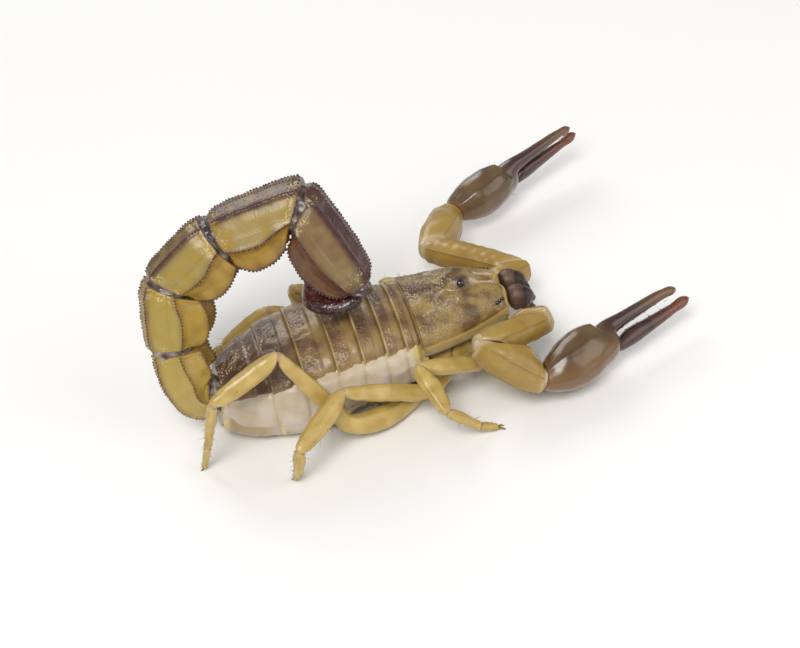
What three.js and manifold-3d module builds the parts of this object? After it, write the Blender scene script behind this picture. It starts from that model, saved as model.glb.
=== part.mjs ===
// A desert scorpion of the fat-tailed kind, life size, standing with its tail curled over its back.
// Millimetres. +X is forward, +Y the animal's left, +Z up. While it is being built, x = 0 is the rear
// margin of the carapace and z = 0 the ground; at the end the whole animal is moved so that the centre
// of its footprint is the origin. Every body segment, limb segment and claw is one closed solid.
import * as THREE from 'three';
import Module from 'manifold-3d';
import { mergeVertices } from 'three/addons/utils/BufferGeometryUtils.js';

const wasm = await Module();
wasm.setup();

// ---- Driving dimensions -------------------------------------------------------------------------

const PART_GAP = 0.3;            // clear space between neighbouring plates and limb segments
const CARAPACE_LENGTH = 10.1;
const CARAPACE_REAR_HALF = 5.9;
const CARAPACE_FRONT_HALF = 2.9;
const CARAPACE_EDGE_HEIGHT = 4.9; // height of the underside of the shield's rim
const EYE_RADIUS = 0.55;
const EYE_FROM_MIDLINE = 0.95;
const EYE_FORWARD = 5.7;
const TRUNK_SIDES = 28;          // points round a trunk ring
const LIMB_SIDES = 10;           // points round a leg ring
const TILT_FADE = 3.2;           // how far, in half-depths, a slanted joint shapes its segment
const MANUS_LENGTH = 9.0;        // the swollen hand of the pincer, up to the fork of its fingers

// Trunk behind the carapace: distance back, half-width, height of the back and of the belly.
const TRUNK = [
  { back: 0.0, half: 6.1, top: 9.5, belly: 1.9 },
  { back: 4.0, half: 6.6, top: 9.8, belly: 1.6 },
  { back: 8.0, half: 6.9, top: 9.9, belly: 1.2 },
  { back: 11.0, half: 7.0, top: 9.7, belly: 0.0 },
  { back: 14.5, half: 6.8, top: 9.1, belly: 0.0 },
  { back: 18.0, half: 5.6, top: 7.7, belly: 0.3 },
  { back: 21.3, half: 3.6, top: 6.0, belly: 1.5 },
];
// Distance back of the rear margin of each of the seven back plates.
const TERGITE_MARGINS = [1.8, 3.9, 6.4, 9.2, 12.6, 16.1, 21.2];

const point = (x, y, z) => new THREE.Vector3(x, y, z);
const UP = point(0, 0, 1);
const FORWARD = point(1, 0, 0);
const BACK = point(-1, 0, 0);

const scorpion = new THREE.Group();

// ---- Shape helpers ------------------------------------------------------------------------------

// Smooth reading of a table of named sizes at any distance along it.
function sizeAt(table, key, field, distance) {
  let next = table.findIndex((row) => row[key] >= distance);
  if (next === -1) next = table.length - 1;
  if (next === 0) next = 1;
  const a = table[next - 1];
  const b = table[next];
  const before = table[Math.max(next - 2, 0)];
  const after = table[Math.min(next + 1, table.length - 1)];
  const t = THREE.MathUtils.clamp((distance - a[key]) / (b[key] - a[key]), 0, 1);
  const span = b[key] - a[key];
  const slopeA = (b[field] - before[field]) / (b[key] - before[key]);
  const slopeB = (after[field] - a[field]) / (after[key] - a[key]);
  const t2 = t * t;
  const t3 = t2 * t;
  return (2 * t3 - 3 * t2 + 1) * a[field] + (t3 - 2 * t2 + t) * span * slopeA
    + (3 * t2 - 2 * t3) * b[field] + (t3 - t2) * span * slopeB;
}

// Closed outline, counter-clockwise: a rounded form with its own height and squareness above and below.
function roundOutline(half, above, below, sides, squareAbove = 2, squareBelow = 2) {
  const outline = [];
  for (let i = 0; i < sides; i += 1) {
    const angle = (2 * Math.PI * (i + 0.5)) / sides;
    const c = Math.cos(angle);
    const s = Math.sin(angle);
    const square = s > 0 ? squareAbove : squareBelow;
    const tall = s > 0 ? above : below;
    outline.push(new THREE.Vector2(
      half * Math.sign(c) * Math.abs(c) ** (2 / square),
      tall * Math.sign(s) * Math.abs(s) ** (2 / square),
    ));
  }
  return outline;
}

// Outline of a tail segment: paired keels with slightly hollow faces between them, and a furrow above.
function keeledOutline(half, above, below) {
  const right = [
    [0.98, 0.0], [1.0, 0.38], [0.84, 0.7], [0.6, 1.0], [0.3, 0.86],
  ];
  const rightBelow = [
    [0.24, -0.97], [0.46, -0.9], [0.74, -0.72], [0.9, -0.38],
  ];
  const place = ([x, y]) => new THREE.Vector2(x * half, y * (y > 0 ? above : below));
  const mirror = ([x, y]) => [-x, y];
  return [
    ...right.map(place),
    new THREE.Vector2(0, 0.78 * above),
    ...right.map(mirror).reverse().map(place),
    ...rightBelow.map(mirror).reverse().map(place),
    ...rightBelow.map(place),
  ];
}

// A solid with one outline at each station. A station has its centre, the way the solid runs there, the
// plane on which the ring lies, and its dorsal side. Rings slide along the run of the solid on to their
// plane, so neighbours cut on the same plane meet face to face. `reach` limits the slide outwards.
function loft(stations) {
  const positions = [];
  const count = stations[0].outline.length;
  for (const s of stations) {
    const side = new THREE.Vector3().crossVectors(s.dorsal, s.along).normalize();
    const up = new THREE.Vector3().crossVectors(s.along, side).normalize();
    for (const p of s.outline) {
      const offset = side.clone().multiplyScalar(p.x).addScaledVector(up, p.y);
      let slide = -offset.dot(s.plane) / s.along.dot(s.plane);
      if (s.sense) slide = s.sense * Math.min(s.sense * slide, s.reach);
      offset.addScaledVector(s.along, slide).add(s.centre);
      positions.push(offset.x, offset.y, Math.max(offset.z, 0));
    }
  }
  const faces = [];
  for (let k = 0; k + 1 < stations.length; k += 1) {
    for (let i = 0; i < count; i += 1) {
      const a = k * count + i;
      const b = k * count + ((i + 1) % count);
      faces.push(a, b, b + count, a, b + count, a + count);
    }
  }
  for (const end of [0, stations.length - 1]) {
    const first = end * count;
    const middle = point(0, 0, 0);
    for (let i = 0; i < count; i += 1) {
      middle.add(new THREE.Vector3().fromArray(positions, 3 * (first + i)));
    }
    middle.divideScalar(count);
    const hub = positions.length / 3;
    positions.push(middle.x, middle.y, middle.z);
    for (let i = 0; i < count; i += 1) {
      const a = first + i;
      const b = first + ((i + 1) % count);
      if (end === 0) faces.push(hub, b, a);
      else faces.push(hub, a, b);
    }
  }
  const geometry = new THREE.BufferGeometry();
  geometry.setAttribute('position', new THREE.Float32BufferAttribute(positions, 3));
  geometry.setIndex(faces);
  return geometry;
}

// Stations of a limb segment along its centre line. `spine` rows are [point, half-width, half-depth].
// `before` and `after` are the runs of the neighbouring segments; the ends lie on the planes between.
function limbStations(spine, dorsal, { before = null, after = null, outline = null, gap = PART_GAP } = {}) {
  const shape = outline ?? ((w, d) => roundOutline(w, d, d, LIMB_SIDES, 2.4, 2.4));
  const runs = [];
  for (let i = 0; i + 1 < spine.length; i += 1) runs.push(runOf(spine[i][0], spine[i + 1][0]));
  const start = spine[0][0];
  const end = spine[spine.length - 1][0];
  const startTilt = before ? before.clone().add(runs[0]).normalize().sub(runs[0]) : point(0, 0, 0);
  const finalRun = runs[runs.length - 1];
  const endTilt = after ? after.clone().add(finalRun).normalize().sub(finalRun) : point(0, 0, 0);
  return spine.map(([at, width, depth], i) => {
    const first = i === 0;
    const last = i === spine.length - 1;
    const into = first ? (before ?? runs[0]) : runs[i - 1];
    const outOf = last ? (after ?? runs[i - 1]) : runs[i];
    const plane = into.clone().add(outOf).normalize();
    if (!first && !last) {
      // The tilt of the end planes dies away along the segment.
      const fromStart = Math.max(0, 1 - at.distanceTo(start) / (TILT_FADE * depth));
      const fromEnd = Math.max(0, 1 - at.distanceTo(end) / (TILT_FADE * depth));
      plane.addScaledVector(startTilt, fromStart).addScaledVector(endTilt, fromEnd).normalize();
    }
    const run = first ? runs[0] : runs[i - 1];
    const along = first || last ? run : into.clone().add(outOf).normalize();
    const centre = at.clone();
    if (first && before) centre.addScaledVector(along, gap / 2 / along.dot(plane));
    if (last && after) centre.addScaledVector(along, -gap / 2 / along.dot(plane));
    let sense = 0;
    if (first) sense = -1;
    if (last) sense = 1;
    return { centre, along, plane, dorsal, outline: shape(width, depth), sense, reach: 0.6 * depth };
  });
}

// Points spread along a straight stretch: rows of [fraction, half-width, half-depth, bow towards dorsal].
function spread(from, to, rows, dorsal = UP) {
  return rows.map(([t, width, depth, bow = 0]) => [
    from.clone().lerp(to, t).addScaledVector(dorsal, bow), width, depth,
  ]);
}

function runOf(from, to) {
  return to.clone().sub(from).normalize();
}

// A closed geometry as a solid for joining and cutting, and back again.
function toSolid(geometry) {
  const plain = geometry.clone();
  plain.deleteAttribute('normal');
  plain.deleteAttribute('uv');
  const merged = mergeVertices(plain, 1e-4);
  return new wasm.Manifold(new wasm.Mesh({
    numProp: 3,
    vertProperties: merged.getAttribute('position').array,
    triVerts: new Uint32Array(merged.getIndex().array),
  }));
}

function toGeometry(solid) {
  const mesh = solid.getMesh();
  const geometry = new THREE.BufferGeometry();
  geometry.setAttribute('position', new THREE.Float32BufferAttribute(mesh.vertProperties, 3));
  geometry.setIndex(new THREE.Uint32BufferAttribute(mesh.triVerts, 1));
  return geometry;
}

function addPart(name, geometry, color, roughness = 0.5) {
  geometry.computeVertexNormals();
  const material = new THREE.MeshStandardMaterial({ color, roughness, metalness: 0 });
  const mesh = new THREE.Mesh(geometry, material);
  mesh.name = name;
  scorpion.add(mesh);
}

// ---- Colours ------------------------------------------------------------------------------------

const OLIVE = 0x8a7440;
const OLIVE_DARK = 0x5d4b2c;
const AMBER = 0xc9a648;
const AMBER_PALE = 0xd6bd6a;
const HAND = 0x6b5230;
const FINGER = 0x3a2020;
const STING = 0x2e1512;
const BELLY = 0xb9a070;

// ---- Head shield, the mass of the leg bases under it, eyes and chelicerae -------------------------

// The shield: a low vault, wide behind and narrow in front, its front third sloping down.
function carapaceGeometry() {
  const rows = [
    { x: 0.0, half: CARAPACE_REAR_HALF, top: 9.5 },
    { x: 2.4, half: 5.55, top: 9.5 },
    { x: 4.8, half: 5.05, top: 9.65 },
    { x: 6.6, half: 4.5, top: 9.5 },
    { x: 8.4, half: 3.8, top: 8.9 },
    { x: CARAPACE_LENGTH - 0.5, half: 3.25, top: 8.4 },
    { x: CARAPACE_LENGTH, half: CARAPACE_FRONT_HALF, top: 8.0 },
  ];
  const middle = 6.4;
  const stations = rows.map(({ x, half, top }, i) => ({
    centre: point(x, 0, middle),
    along: FORWARD,
    plane: FORWARD,
    dorsal: UP,
    outline: roundOutline(half, top - middle, middle - CARAPACE_EDGE_HEIGHT, TRUNK_SIDES, 2.3, 4),
    sense: i === 0 ? -1 : 0,
    reach: 0,
  }));
  return loft(stations);
}

function eyeCentre(sideSign) {
  return point(EYE_FORWARD, sideSign * EYE_FROM_MIDLINE, 9.7);
}

function buildHead() {
  let shield = toSolid(carapaceGeometry());
  // The eye mound: a low oval swelling between and under the two middle eyes.
  const mound = new THREE.SphereGeometry(1, 14, 8);
  mound.scale(1.7, 1.05, 0.85);
  mound.translate(EYE_FORWARD, 0, 9.5);
  shield = shield.add(toSolid(mound));
  for (const sideSign of [1, -1]) {
    const socket = new THREE.SphereGeometry(EYE_RADIUS + 0.12, 12, 8);
    const at = eyeCentre(sideSign);
    socket.translate(at.x, at.y, at.z);
    shield = shield.subtract(toSolid(socket));
  }
  addPart('carapace', toGeometry(shield), OLIVE, 0.55);
  for (const [sideSign, label] of [[1, 'left'], [-1, 'right']]) {
    const eye = new THREE.SphereGeometry(EYE_RADIUS, 12, 8);
    const at = eyeCentre(sideSign);
    eye.translate(at.x, at.y, at.z);
    addPart(`eye_${label}`, eye, 0x0a0808, 0.1);
  }
}

function buildLegBases() {
  const rows = [
    { x: -0.1, half: 4.6 }, { x: 3.0, half: 4.5 }, { x: 6.5, half: 3.9 }, { x: 9.4, half: 3.2 }, { x: 10.2, half: 2.6 },
  ];
  const top = CARAPACE_EDGE_HEIGHT - PART_GAP;
  const bottom = 1.5;
  const stations = rows.map(({ x, half }) => ({
    centre: point(x, 0, (top + bottom) / 2),
    along: FORWARD,
    plane: FORWARD,
    dorsal: UP,
    outline: roundOutline(half, (top - bottom) / 2, (top - bottom) / 2, 20, 4, 2.6),
    sense: 0,
  }));
  addPart('leg_bases', loft(stations), AMBER_PALE, 0.5);
}

// A chelicera: a short thick hand under the front of the shield with a fixed and a movable finger.
function buildChelicera(sideSign, label) {
  const hand = loft(limbStations([
    [point(10.45, sideSign * 1.35, 6.5), 0.85, 0.9],
    [point(10.9, sideSign * 1.4, 6.5), 1.15, 1.3],
    [point(11.7, sideSign * 1.45, 6.3), 1.15, 1.3],
    [point(12.3, sideSign * 1.35, 6.1), 0.85, 1.05],
    [point(12.9, sideSign * 1.1, 5.6), 0.42, 0.5],
    [point(13.3, sideSign * 0.85, 5.1), 0.26, 0.28],
  ], UP));
  const finger = loft(limbStations([
    [point(11.8, sideSign * 1.9, 5.6), 0.4, 0.5],
    [point(12.5, sideSign * 1.9, 5.0), 0.4, 0.45],
    [point(13.0, sideSign * 1.5, 4.6), 0.28, 0.3],
  ], UP));
  addPart(`chelicera_${label}`, toGeometry(toSolid(hand).add(toSolid(finger))), 0x8a4a22, 0.4);
}

// ---- Trunk: seven ring segments, each ending behind in a slightly raised margin --------------------

function trunkStation(back, swell, slant = 0) {
  const middle = 4.6;
  const top = sizeAt(TRUNK, 'back', 'top', back);
  const belly = sizeAt(TRUNK, 'back', 'belly', back);
  const half = sizeAt(TRUNK, 'back', 'half', back);
  const centreHeight = Math.min(middle, (top + belly) / 2 + 0.6);
  return {
    centre: point(-back, 0, centreHeight),
    along: BACK,
    plane: point(-1, 0, slant).normalize(),
    dorsal: UP,
    outline: roundOutline(half * swell, (top - centreHeight) * swell, centreHeight - belly, TRUNK_SIDES, 2.35, 5),
    sense: 0,
  };
}

function buildTrunk() {
  let front = 0;
  TERGITE_MARGINS.forEach((margin, index) => {
    const start = front + PART_GAP;
    const last = index === TERGITE_MARGINS.length - 1;
    const slant = last ? 0.25 : 0;
    const stations = [
      trunkStation(start, 0.97),
      trunkStation(start + 0.45 * (margin - start), 0.985, slant / 2),
      trunkStation(margin - 0.25, 1.0, slant),
      trunkStation(margin, 0.985, slant),
    ];
    addPart(`mesosoma_${index + 1}`, loft(stations), index > 4 ? OLIVE_DARK : OLIVE, 0.55);
    front = margin;
  });
}

// The combs: paired sense organs lying flat under the front of the belly, each with a row of teeth.
function buildComb(sideSign, label) {
  const teeth = 9;
  const length = 5.4;
  const shape = new THREE.Shape();
  shape.moveTo(0, 0);
  shape.lineTo(0, 0.9);
  shape.lineTo(length, 0.7);
  shape.lineTo(length, 0);
  const pitch = length / teeth;
  for (let i = teeth; i > 0; i -= 1) {
    const x = pitch * i;
    shape.lineTo(x - 0.04, -1.0);
    shape.lineTo(x - pitch + 0.12, -1.0);
    shape.lineTo(x - pitch + 0.08, 0);
    if (i > 1) shape.lineTo(x - pitch, 0);
  }
  const comb = new THREE.ExtrudeGeometry(shape, { depth: 0.6, bevelEnabled: false });
  comb.rotateX(Math.PI);
  comb.rotateZ(THREE.MathUtils.degToRad(180 - 48));
  if (sideSign < 0) {
    comb.scale(1, -1, 1);
    const index = comb.getIndex() ?? null;
    if (index) comb.setIndex([...index.array].reverse());
    else comb.getAttribute('position').array.set(flipped(comb.getAttribute('position').array));
  }
  comb.translate(-2.6, sideSign * 0.9, 1.0);
  addPart(`comb_${label}`, comb, AMBER_PALE, 0.5);
}

// The same triangles wound the other way round, for a mirrored solid.
function flipped(positions) {
  const result = new Float32Array(positions.length);
  for (let i = 0; i < positions.length; i += 9) {
    result.set(positions.subarray(i, i + 3), i);
    result.set(positions.subarray(i + 6, i + 9), i + 3);
    result.set(positions.subarray(i + 3, i + 6), i + 6);
  }
  return result;
}

// ---- Tail ---------------------------------------------------------------------------------------

// The tail curls in a plane that leans to the animal's left: its near side faces right, back and up.
const TAIL_TURN = THREE.MathUtils.degToRad(15);
const TAIL_LEAN = THREE.MathUtils.degToRad(20);
const TAIL_SIDE = point(
  -Math.sin(TAIL_TURN) * Math.cos(TAIL_LEAN),
  -Math.cos(TAIL_TURN) * Math.cos(TAIL_LEAN),
  Math.sin(TAIL_LEAN),
);
const TAIL_JOINTS = [
  point(-22.0, 0.1, 4.2),
  point(-23.9, 2.4, 9.4),
  point(-22.7, 4.3, 15.7),
  point(-16.8, 4.3, 19.7),
  point(-8.5, 2.8, 21.6),
  point(-4.7, -1.3, 13.1),
];
// Half-width and half-depth of the five tail segments.
const TAIL_SIZES = [
  [3.1, 2.8], [3.05, 3.05], [3.15, 3.1], [3.25, 3.0], [3.05, 2.9],
];

function buildTail() {
  const runs = TAIL_JOINTS.slice(1).map((to, i) => runOf(TAIL_JOINTS[i], to));
  TAIL_SIZES.forEach(([half, deep], i) => {
    const run = runs[i];
    const dorsal = new THREE.Vector3().crossVectors(run, TAIL_SIDE).normalize();
    const last = i === TAIL_SIZES.length - 1;
    const first = i === 0;
    const rows = last
      ? [[0, 0.84], [0.1, 0.97], [0.3, 1.0], [0.55, 0.98], [0.78, 0.88], [0.9, 0.76], [0.965, 0.58]]
      : [[0, 0.84], [0.12, 0.97], [0.35, 1.02], [0.62, 1.03], [0.86, 1.0], [1, 0.86]];
    let spine = rows.map(([t, k]) => [TAIL_JOINTS[i].clone().lerp(TAIL_JOINTS[i + 1], t), half * k, deep * k]);
    let before = first ? null : runs[i - 1];
    if (first) {
      // The first segment starts level with the trunk and turns up within its own length.
      spine = [
        [point(-22.0, 0.05, 4.0), 2.4, 1.8],
        [point(-22.9, 0.35, 4.6), 2.8, 2.3],
        [point(-23.6, 1.0, 6.0), 3.05, 2.7],
        [point(-23.8, 1.5, 7.1), 3.05, 2.7],
        [TAIL_JOINTS[1].clone(), 2.6, 2.4],
      ];
      before = null;
    }
    const stations = limbStations(spine, dorsal, {
      before,
      after: last ? null : runs[i + 1],
      outline: (w, d) => keeledOutline(w, d * 1.04, d),
    });
    if (first) {
      stations[0].plane = point(-1, 0, 0.2).normalize();
      stations[0].along = point(-0.95, 0.05, 0.3).normalize();
      stations[0].dorsal = UP;
      stations[1].dorsal = dorsal.clone().lerp(UP, 0.5);
      stations[1].plane = point(-0.85, 0.2, 0.5).normalize();
      stations[1].along = stations[1].plane.clone();
    }
    const colors = [AMBER, AMBER, 0xa58a42, 0x94793c, 0x6e5a38];
    addPart(`metasoma_${i + 1}`, loft(stations), colors[i], 0.45);
  });
}

// The sting: a bulb folded back under the last tail segment and a curved spine behind it.
function buildSting() {
  const run = runOf(TAIL_JOINTS[4], TAIL_JOINTS[5]);
  const dorsal = new THREE.Vector3().crossVectors(run, TAIL_SIDE).normalize();
  const end = TAIL_JOINTS[5];
  // A place given by how far it lies beyond the end of the tail, out on its dorsal side, and to the side.
  const place = (beyond, out, side = 0) => end.clone()
    .addScaledVector(run, beyond).addScaledVector(dorsal, out).addScaledVector(TAIL_SIDE, side);
  const bulb = [
    [place(0.75, 0.3), 1.0, 0.6],
    [place(0.75, 1.4, -0.1), 1.5, 0.85],
    [place(0.35, 2.6, -0.3), 1.85, 1.0],
    [place(-0.7, 3.75, -0.6), 1.95, 1.1],
    [place(-2.0, 4.15, -1.1), 1.55, 1.0],
    [place(-2.9, 4.0, -1.6), 0.95, 0.65],
  ];
  const outside = run.clone().multiplyScalar(1);
  addPart('telson_bulb', loft(limbStations(bulb, outside.clone().negate())), STING, 0.25);
  const spine = [
    [place(-3.2, 3.9, -1.8), 0.6, 0.48],
    [place(-4.1, 3.6, -2.3), 0.48, 0.4],
    [place(-5.1, 3.3, -2.7), 0.35, 0.33],
    [place(-6.0, 3.15, -2.9), 0.26, 0.26],
  ];
  addPart('telson_spine', loft(limbStations(spine, outside.clone().negate())), STING, 0.2);
}

// ---- Pedipalps ----------------------------------------------------------------------------------

function buildPedipalp(label, joints, opening, plump) {
  const [base, elbowNear, elbowFar, wrist, tip] = joints;
  const runs = joints.slice(1).map((to, i) => runOf(joints[i], to));
  const piece = (name, spine, dorsal, options, color, roughness) => {
    addPart(`pedipalp_${label}_${name}`, loft(limbStations(spine, dorsal, options)), color, roughness);
  };
  piece('trochanter', spread(base, elbowNear, [
    [0, 1.15, 1.2], [0.3, 1.45, 1.5], [0.75, 1.5, 1.5], [1, 1.25, 1.3],
  ]), UP, { after: runs[1] }, AMBER, 0.5);
  piece('femur', spread(elbowNear, elbowFar, [
    [0, 1.15, 1.15], [0.18, 1.3, 1.35], [0.5, 1.4, 1.5], [0.82, 1.45, 1.5], [1, 1.2, 1.25],
  ]), UP, { before: runs[0], after: runs[2] }, AMBER, 0.5);
  piece('patella', spread(elbowFar, wrist, [
    [0, 1.2, 1.3], [0.2, 1.7, 1.8], [0.5, 1.9, 2.05], [0.8, 1.75, 1.85], [1, 1.2, 1.3],
  ]), UP, { before: runs[1], after: runs[3] }, AMBER, 0.5);

  const run = runs[3];
  const open = opening.clone().addScaledVector(run, -opening.dot(run)).normalize();
  const length = wrist.distanceTo(tip);
  const at = (distance, out) => wrist.clone().addScaledVector(run, distance).addScaledVector(open, out);
  piece('hand', [
    [at(0, 0), 1.05, 1.1],
    [at(0.9, 0), 1.65, 1.7 * plump],
    [at(2.4, -0.05), 2.2, 2.4 * plump],
    [at(4.4, -0.1), 2.4, 2.75 * plump],
    [at(6.4, 0), 2.2, 2.55 * plump],
    [at(8.0, 0.15), 1.6, 2.0 * plump],
    [at(MANUS_LENGTH, 0.8), 1.0, 1.1],
    [at(10.6, 0.95), 0.75, 0.76],
    [at(13.4, 0.98), 0.6, 0.64],
    [at(16.4, 0.95), 0.45, 0.5],
    [at(length - 0.4, 0.75), 0.27, 0.28],
  ], open, { before: runs[2] }, HAND, 0.35);
  piece('finger', [
    [at(MANUS_LENGTH + 0.25, -1.3), 0.7, 0.6],
    [at(MANUS_LENGTH + 1.3, -1.15), 0.8, 0.82],
    [at(13.4, -1.05), 0.62, 0.72],
    [at(16.4, -0.95), 0.45, 0.52],
    [at(length + 0.3, -0.8), 0.27, 0.28],
  ], open, {}, FINGER, 0.35);
}

// ---- Walking legs -------------------------------------------------------------------------------

// A leg of three solids: the base with the thigh, the knee segment, and the shin with the foot.
// `base` rows are [point, radius] from the leg's root to the hip; `girth` scales the free segments.
function buildLeg(label, { base, knee, shin, ankle, toe, girth }) {
  const k = girth;
  const hip = base[base.length - 1][0];
  const thighRun = runOf(hip, knee);
  const kneeRun = runOf(knee, shin);
  const dorsal = thighRun.clone().sub(kneeRun).normalize();
  const part = (name, spine, options) => {
    addPart(`leg_${label}_${name}`, loft(limbStations(spine, dorsal, options)), AMBER_PALE);
  };
  part('thigh', [
    ...base.map(([at, radius]) => [at, 0.92 * radius, radius]),
    ...spread(hip, knee, [
      [0.25, 0.72 * k, 0.88 * k], [0.6, 0.68 * k, 0.86 * k], [0.88, 0.56 * k, 0.66 * k], [1, 0.5 * k, 0.56 * k],
    ]),
  ], { after: kneeRun });
  part('knee', spread(knee, shin, [
    [0, 0.5 * k, 0.56 * k], [0.15, 0.7 * k, 0.85 * k], [0.5, 0.75 * k, 0.98 * k],
    [0.85, 0.62 * k, 0.78 * k], [1, 0.46 * k, 0.52 * k],
  ]), { before: thighRun, after: runOf(shin, ankle) });
  part('foot', [
    ...spread(shin, ankle, [
      [0, 0.46 * k, 0.5 * k], [0.25, 0.56 * k, 0.62 * k], [0.8, 0.45 * k, 0.48 * k], [1, 0.4 * k, 0.42 * k],
    ]),
    ...spread(ankle, toe, [[0.5, 0.36 * k, 0.38 * k], [0.85, 0.36, 0.34], [1, 0.3, 0.3]]),
  ], { before: kneeRun });
}

const TOE_HEIGHT = 0.28;         // centre line of a toe that stands on the ground

buildHead();
buildLegBases();
buildChelicera(1, 'left');
buildChelicera(-1, 'right');
buildTrunk();
buildComb(1, 'left');
buildComb(-1, 'right');
buildTail();
buildSting();
buildPedipalp('right', [
  point(10.6, -4.1, 5.0), point(12.4, -6.0, 6.0), point(5.6, -8.7, 7.2), point(10.5, -11.6, 3.5), point(27.8, -5.5, 4.1),
], point(0.2, 0.7, 0.7), 1);
buildPedipalp('left', [
  point(10.6, 4.1, 4.6), point(13.5, 5.7, 4.2), point(5.8, 13.2, 4.6), point(10.2, 20.1, 3.6), point(27.1, 26.9, 5.6),
], point(0, -0.2, 1), 0.9);

buildLeg('right_1', {
  base: [[point(7.4, -4.1, 2.6), 0.8], [point(8.2, -5.1, 2.3), 0.85], [point(8.6, -5.9, 2.3), 0.7]],
  knee: point(7.6, -8.0, 3.4),
  shin: point(10.2, -7.9, 2.1),
  ankle: point(12.0, -7.7, 1.0),
  toe: point(13.6, -7.6, TOE_HEIGHT),
  girth: 0.85,
});
buildLeg('right_2', {
  base: [[point(4.4, -4.8, 2.9), 0.9], [point(4.9, -6.2, 3.4), 1.0], [point(4.6, -7.0, 4.0), 0.85]],
  knee: point(-1.2, -8.6, 6.7),
  shin: point(0.15, -13.1, 4.0),
  ankle: point(3.1, -13.3, 1.2),
  toe: point(4.9, -13.2, TOE_HEIGHT),
  girth: 1.0,
});
buildLeg('right_3', {
  base: [[point(1.9, -5.4, 2.6), 0.9], [point(0.3, -7.0, 2.9), 1.0], [point(-1.4, -7.8, 3.0), 0.9]],
  knee: point(-9.3, -9.0, 6.7),
  shin: point(-15.1, -13.6, 4.9),
  ankle: point(-15.7, -12.8, 1.6),
  toe: point(-16.0, -11.9, TOE_HEIGHT),
  girth: 1.05,
});
buildLeg('right_4', {
  base: [
    [point(0.4, -4.0, 0.75), 0.6], [point(-2.9, -6.8, 1.2), 0.95],
    [point(-6.0, -8.3, 1.6), 1.2], [point(-9.4, -8.8, 2.6), 0.95],
  ],
  knee: point(-14.6, -7.2, 12.0),
  shin: point(-22.0, -8.6, 9.5),
  ankle: point(-23.6, -7.5, 3.6),
  toe: point(-24.5, -6.5, TOE_HEIGHT),
  girth: 1.0,
});
buildLeg('left_1', {
  base: [[point(7.4, 4.1, 2.6), 0.8], [point(8.2, 5.1, 2.3), 0.85], [point(8.6, 5.9, 2.2), 0.7]],
  knee: point(7.2, 8.2, 3.3),
  shin: point(9.4, 8.3, 2.0),
  ankle: point(10.9, 8.4, 1.0),
  toe: point(12.4, 8.4, TOE_HEIGHT),
  girth: 0.85,
});
buildLeg('left_2', {
  base: [[point(4.4, 4.8, 2.9), 0.9], [point(5.2, 6.2, 3.8), 1.0], [point(5.0, 6.9, 4.6), 0.85]],
  knee: point(-0.6, 9.0, 4.8),
  shin: point(1.4, 11.6, 2.4),
  ankle: point(3.0, 12.0, 1.1),
  toe: point(4.6, 12.3, TOE_HEIGHT),
  girth: 1.0,
});
buildLeg('left_3', {
  base: [[point(1.9, 5.4, 2.6), 0.9], [point(0.3, 7.0, 2.9), 1.0], [point(-1.4, 7.9, 3.2), 0.9]],
  knee: point(-10.2, 8.0, 8.2),
  shin: point(-9.6, 10.6, 3.4),
  ankle: point(-8.8, 11.4, 1.5),
  toe: point(-7.8, 12.0, TOE_HEIGHT),
  girth: 1.05,
});
buildLeg('left_4', {
  base: [
    [point(0.4, 4.0, 0.75), 0.6], [point(-2.9, 6.8, 1.2), 0.95],
    [point(-5.6, 8.1, 1.6), 1.1], [point(-7.6, 8.4, 2.4), 0.9],
  ],
  knee: point(-13.6, 7.2, 7.0),
  shin: point(-19.2, 8.2, 3.1),
  ankle: point(-21.0, 9.0, 1.3),
  toe: point(-22.6, 9.7, TOE_HEIGHT),
  girth: 1.0,
});

// The centre of the footprint becomes the origin.
const box = new THREE.Box3().setFromObject(scorpion, true);
scorpion.position.set(-(box.min.x + box.max.x) / 2, -(box.min.y + box.max.y) / 2, -box.min.z);
scorpion.updateMatrixWorld(true);

export default scorpion;
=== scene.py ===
"""A fat-tailed desert scorpion, life size, dressed over its fixed frame of solids.

Shapes are worked out in the animal's own frame, in millimetres: +X forward, +Y the animal's left,
+Z up, x = 0 at the rear margin of the head shield and z = 0 on the ground. A Workshop turns them
into meshes in the frame of the solids, in metres.
"""

import logging
from collections.abc import Sequence
from dataclasses import dataclass, field, replace
from enum import Enum

import bpy
import numpy as np
from mathutils import Matrix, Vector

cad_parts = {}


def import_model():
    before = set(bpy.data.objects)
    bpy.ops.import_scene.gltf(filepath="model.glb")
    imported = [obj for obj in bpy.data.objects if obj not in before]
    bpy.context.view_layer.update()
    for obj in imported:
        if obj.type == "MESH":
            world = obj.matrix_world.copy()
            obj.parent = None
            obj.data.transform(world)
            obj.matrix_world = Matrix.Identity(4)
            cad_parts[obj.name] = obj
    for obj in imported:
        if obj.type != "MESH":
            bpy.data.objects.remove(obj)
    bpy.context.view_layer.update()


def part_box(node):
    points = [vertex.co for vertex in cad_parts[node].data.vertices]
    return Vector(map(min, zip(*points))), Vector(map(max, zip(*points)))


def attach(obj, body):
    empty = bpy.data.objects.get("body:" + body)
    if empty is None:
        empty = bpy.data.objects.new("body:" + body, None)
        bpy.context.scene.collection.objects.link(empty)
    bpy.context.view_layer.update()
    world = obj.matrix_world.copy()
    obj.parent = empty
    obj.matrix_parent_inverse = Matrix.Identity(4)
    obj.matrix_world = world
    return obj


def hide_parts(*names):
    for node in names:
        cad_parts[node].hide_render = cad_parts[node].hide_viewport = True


Array = np.ndarray
Place = tuple[float, float, float]
Colour = tuple[float, float, float]
Line = list[tuple[float, float]]
Rows = tuple[tuple[float, ...], ...]
log = logging.getLogger("scorpion")

UP = np.array([0.0, 0.0, 1.0])
TAU = 2 * np.pi
SIDES = ((1, "left"), (-1, "right"))
FIELDS = ("keel", "rim", "tone", "pale", "dust")


# ---- Arithmetic on points ----

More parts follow.
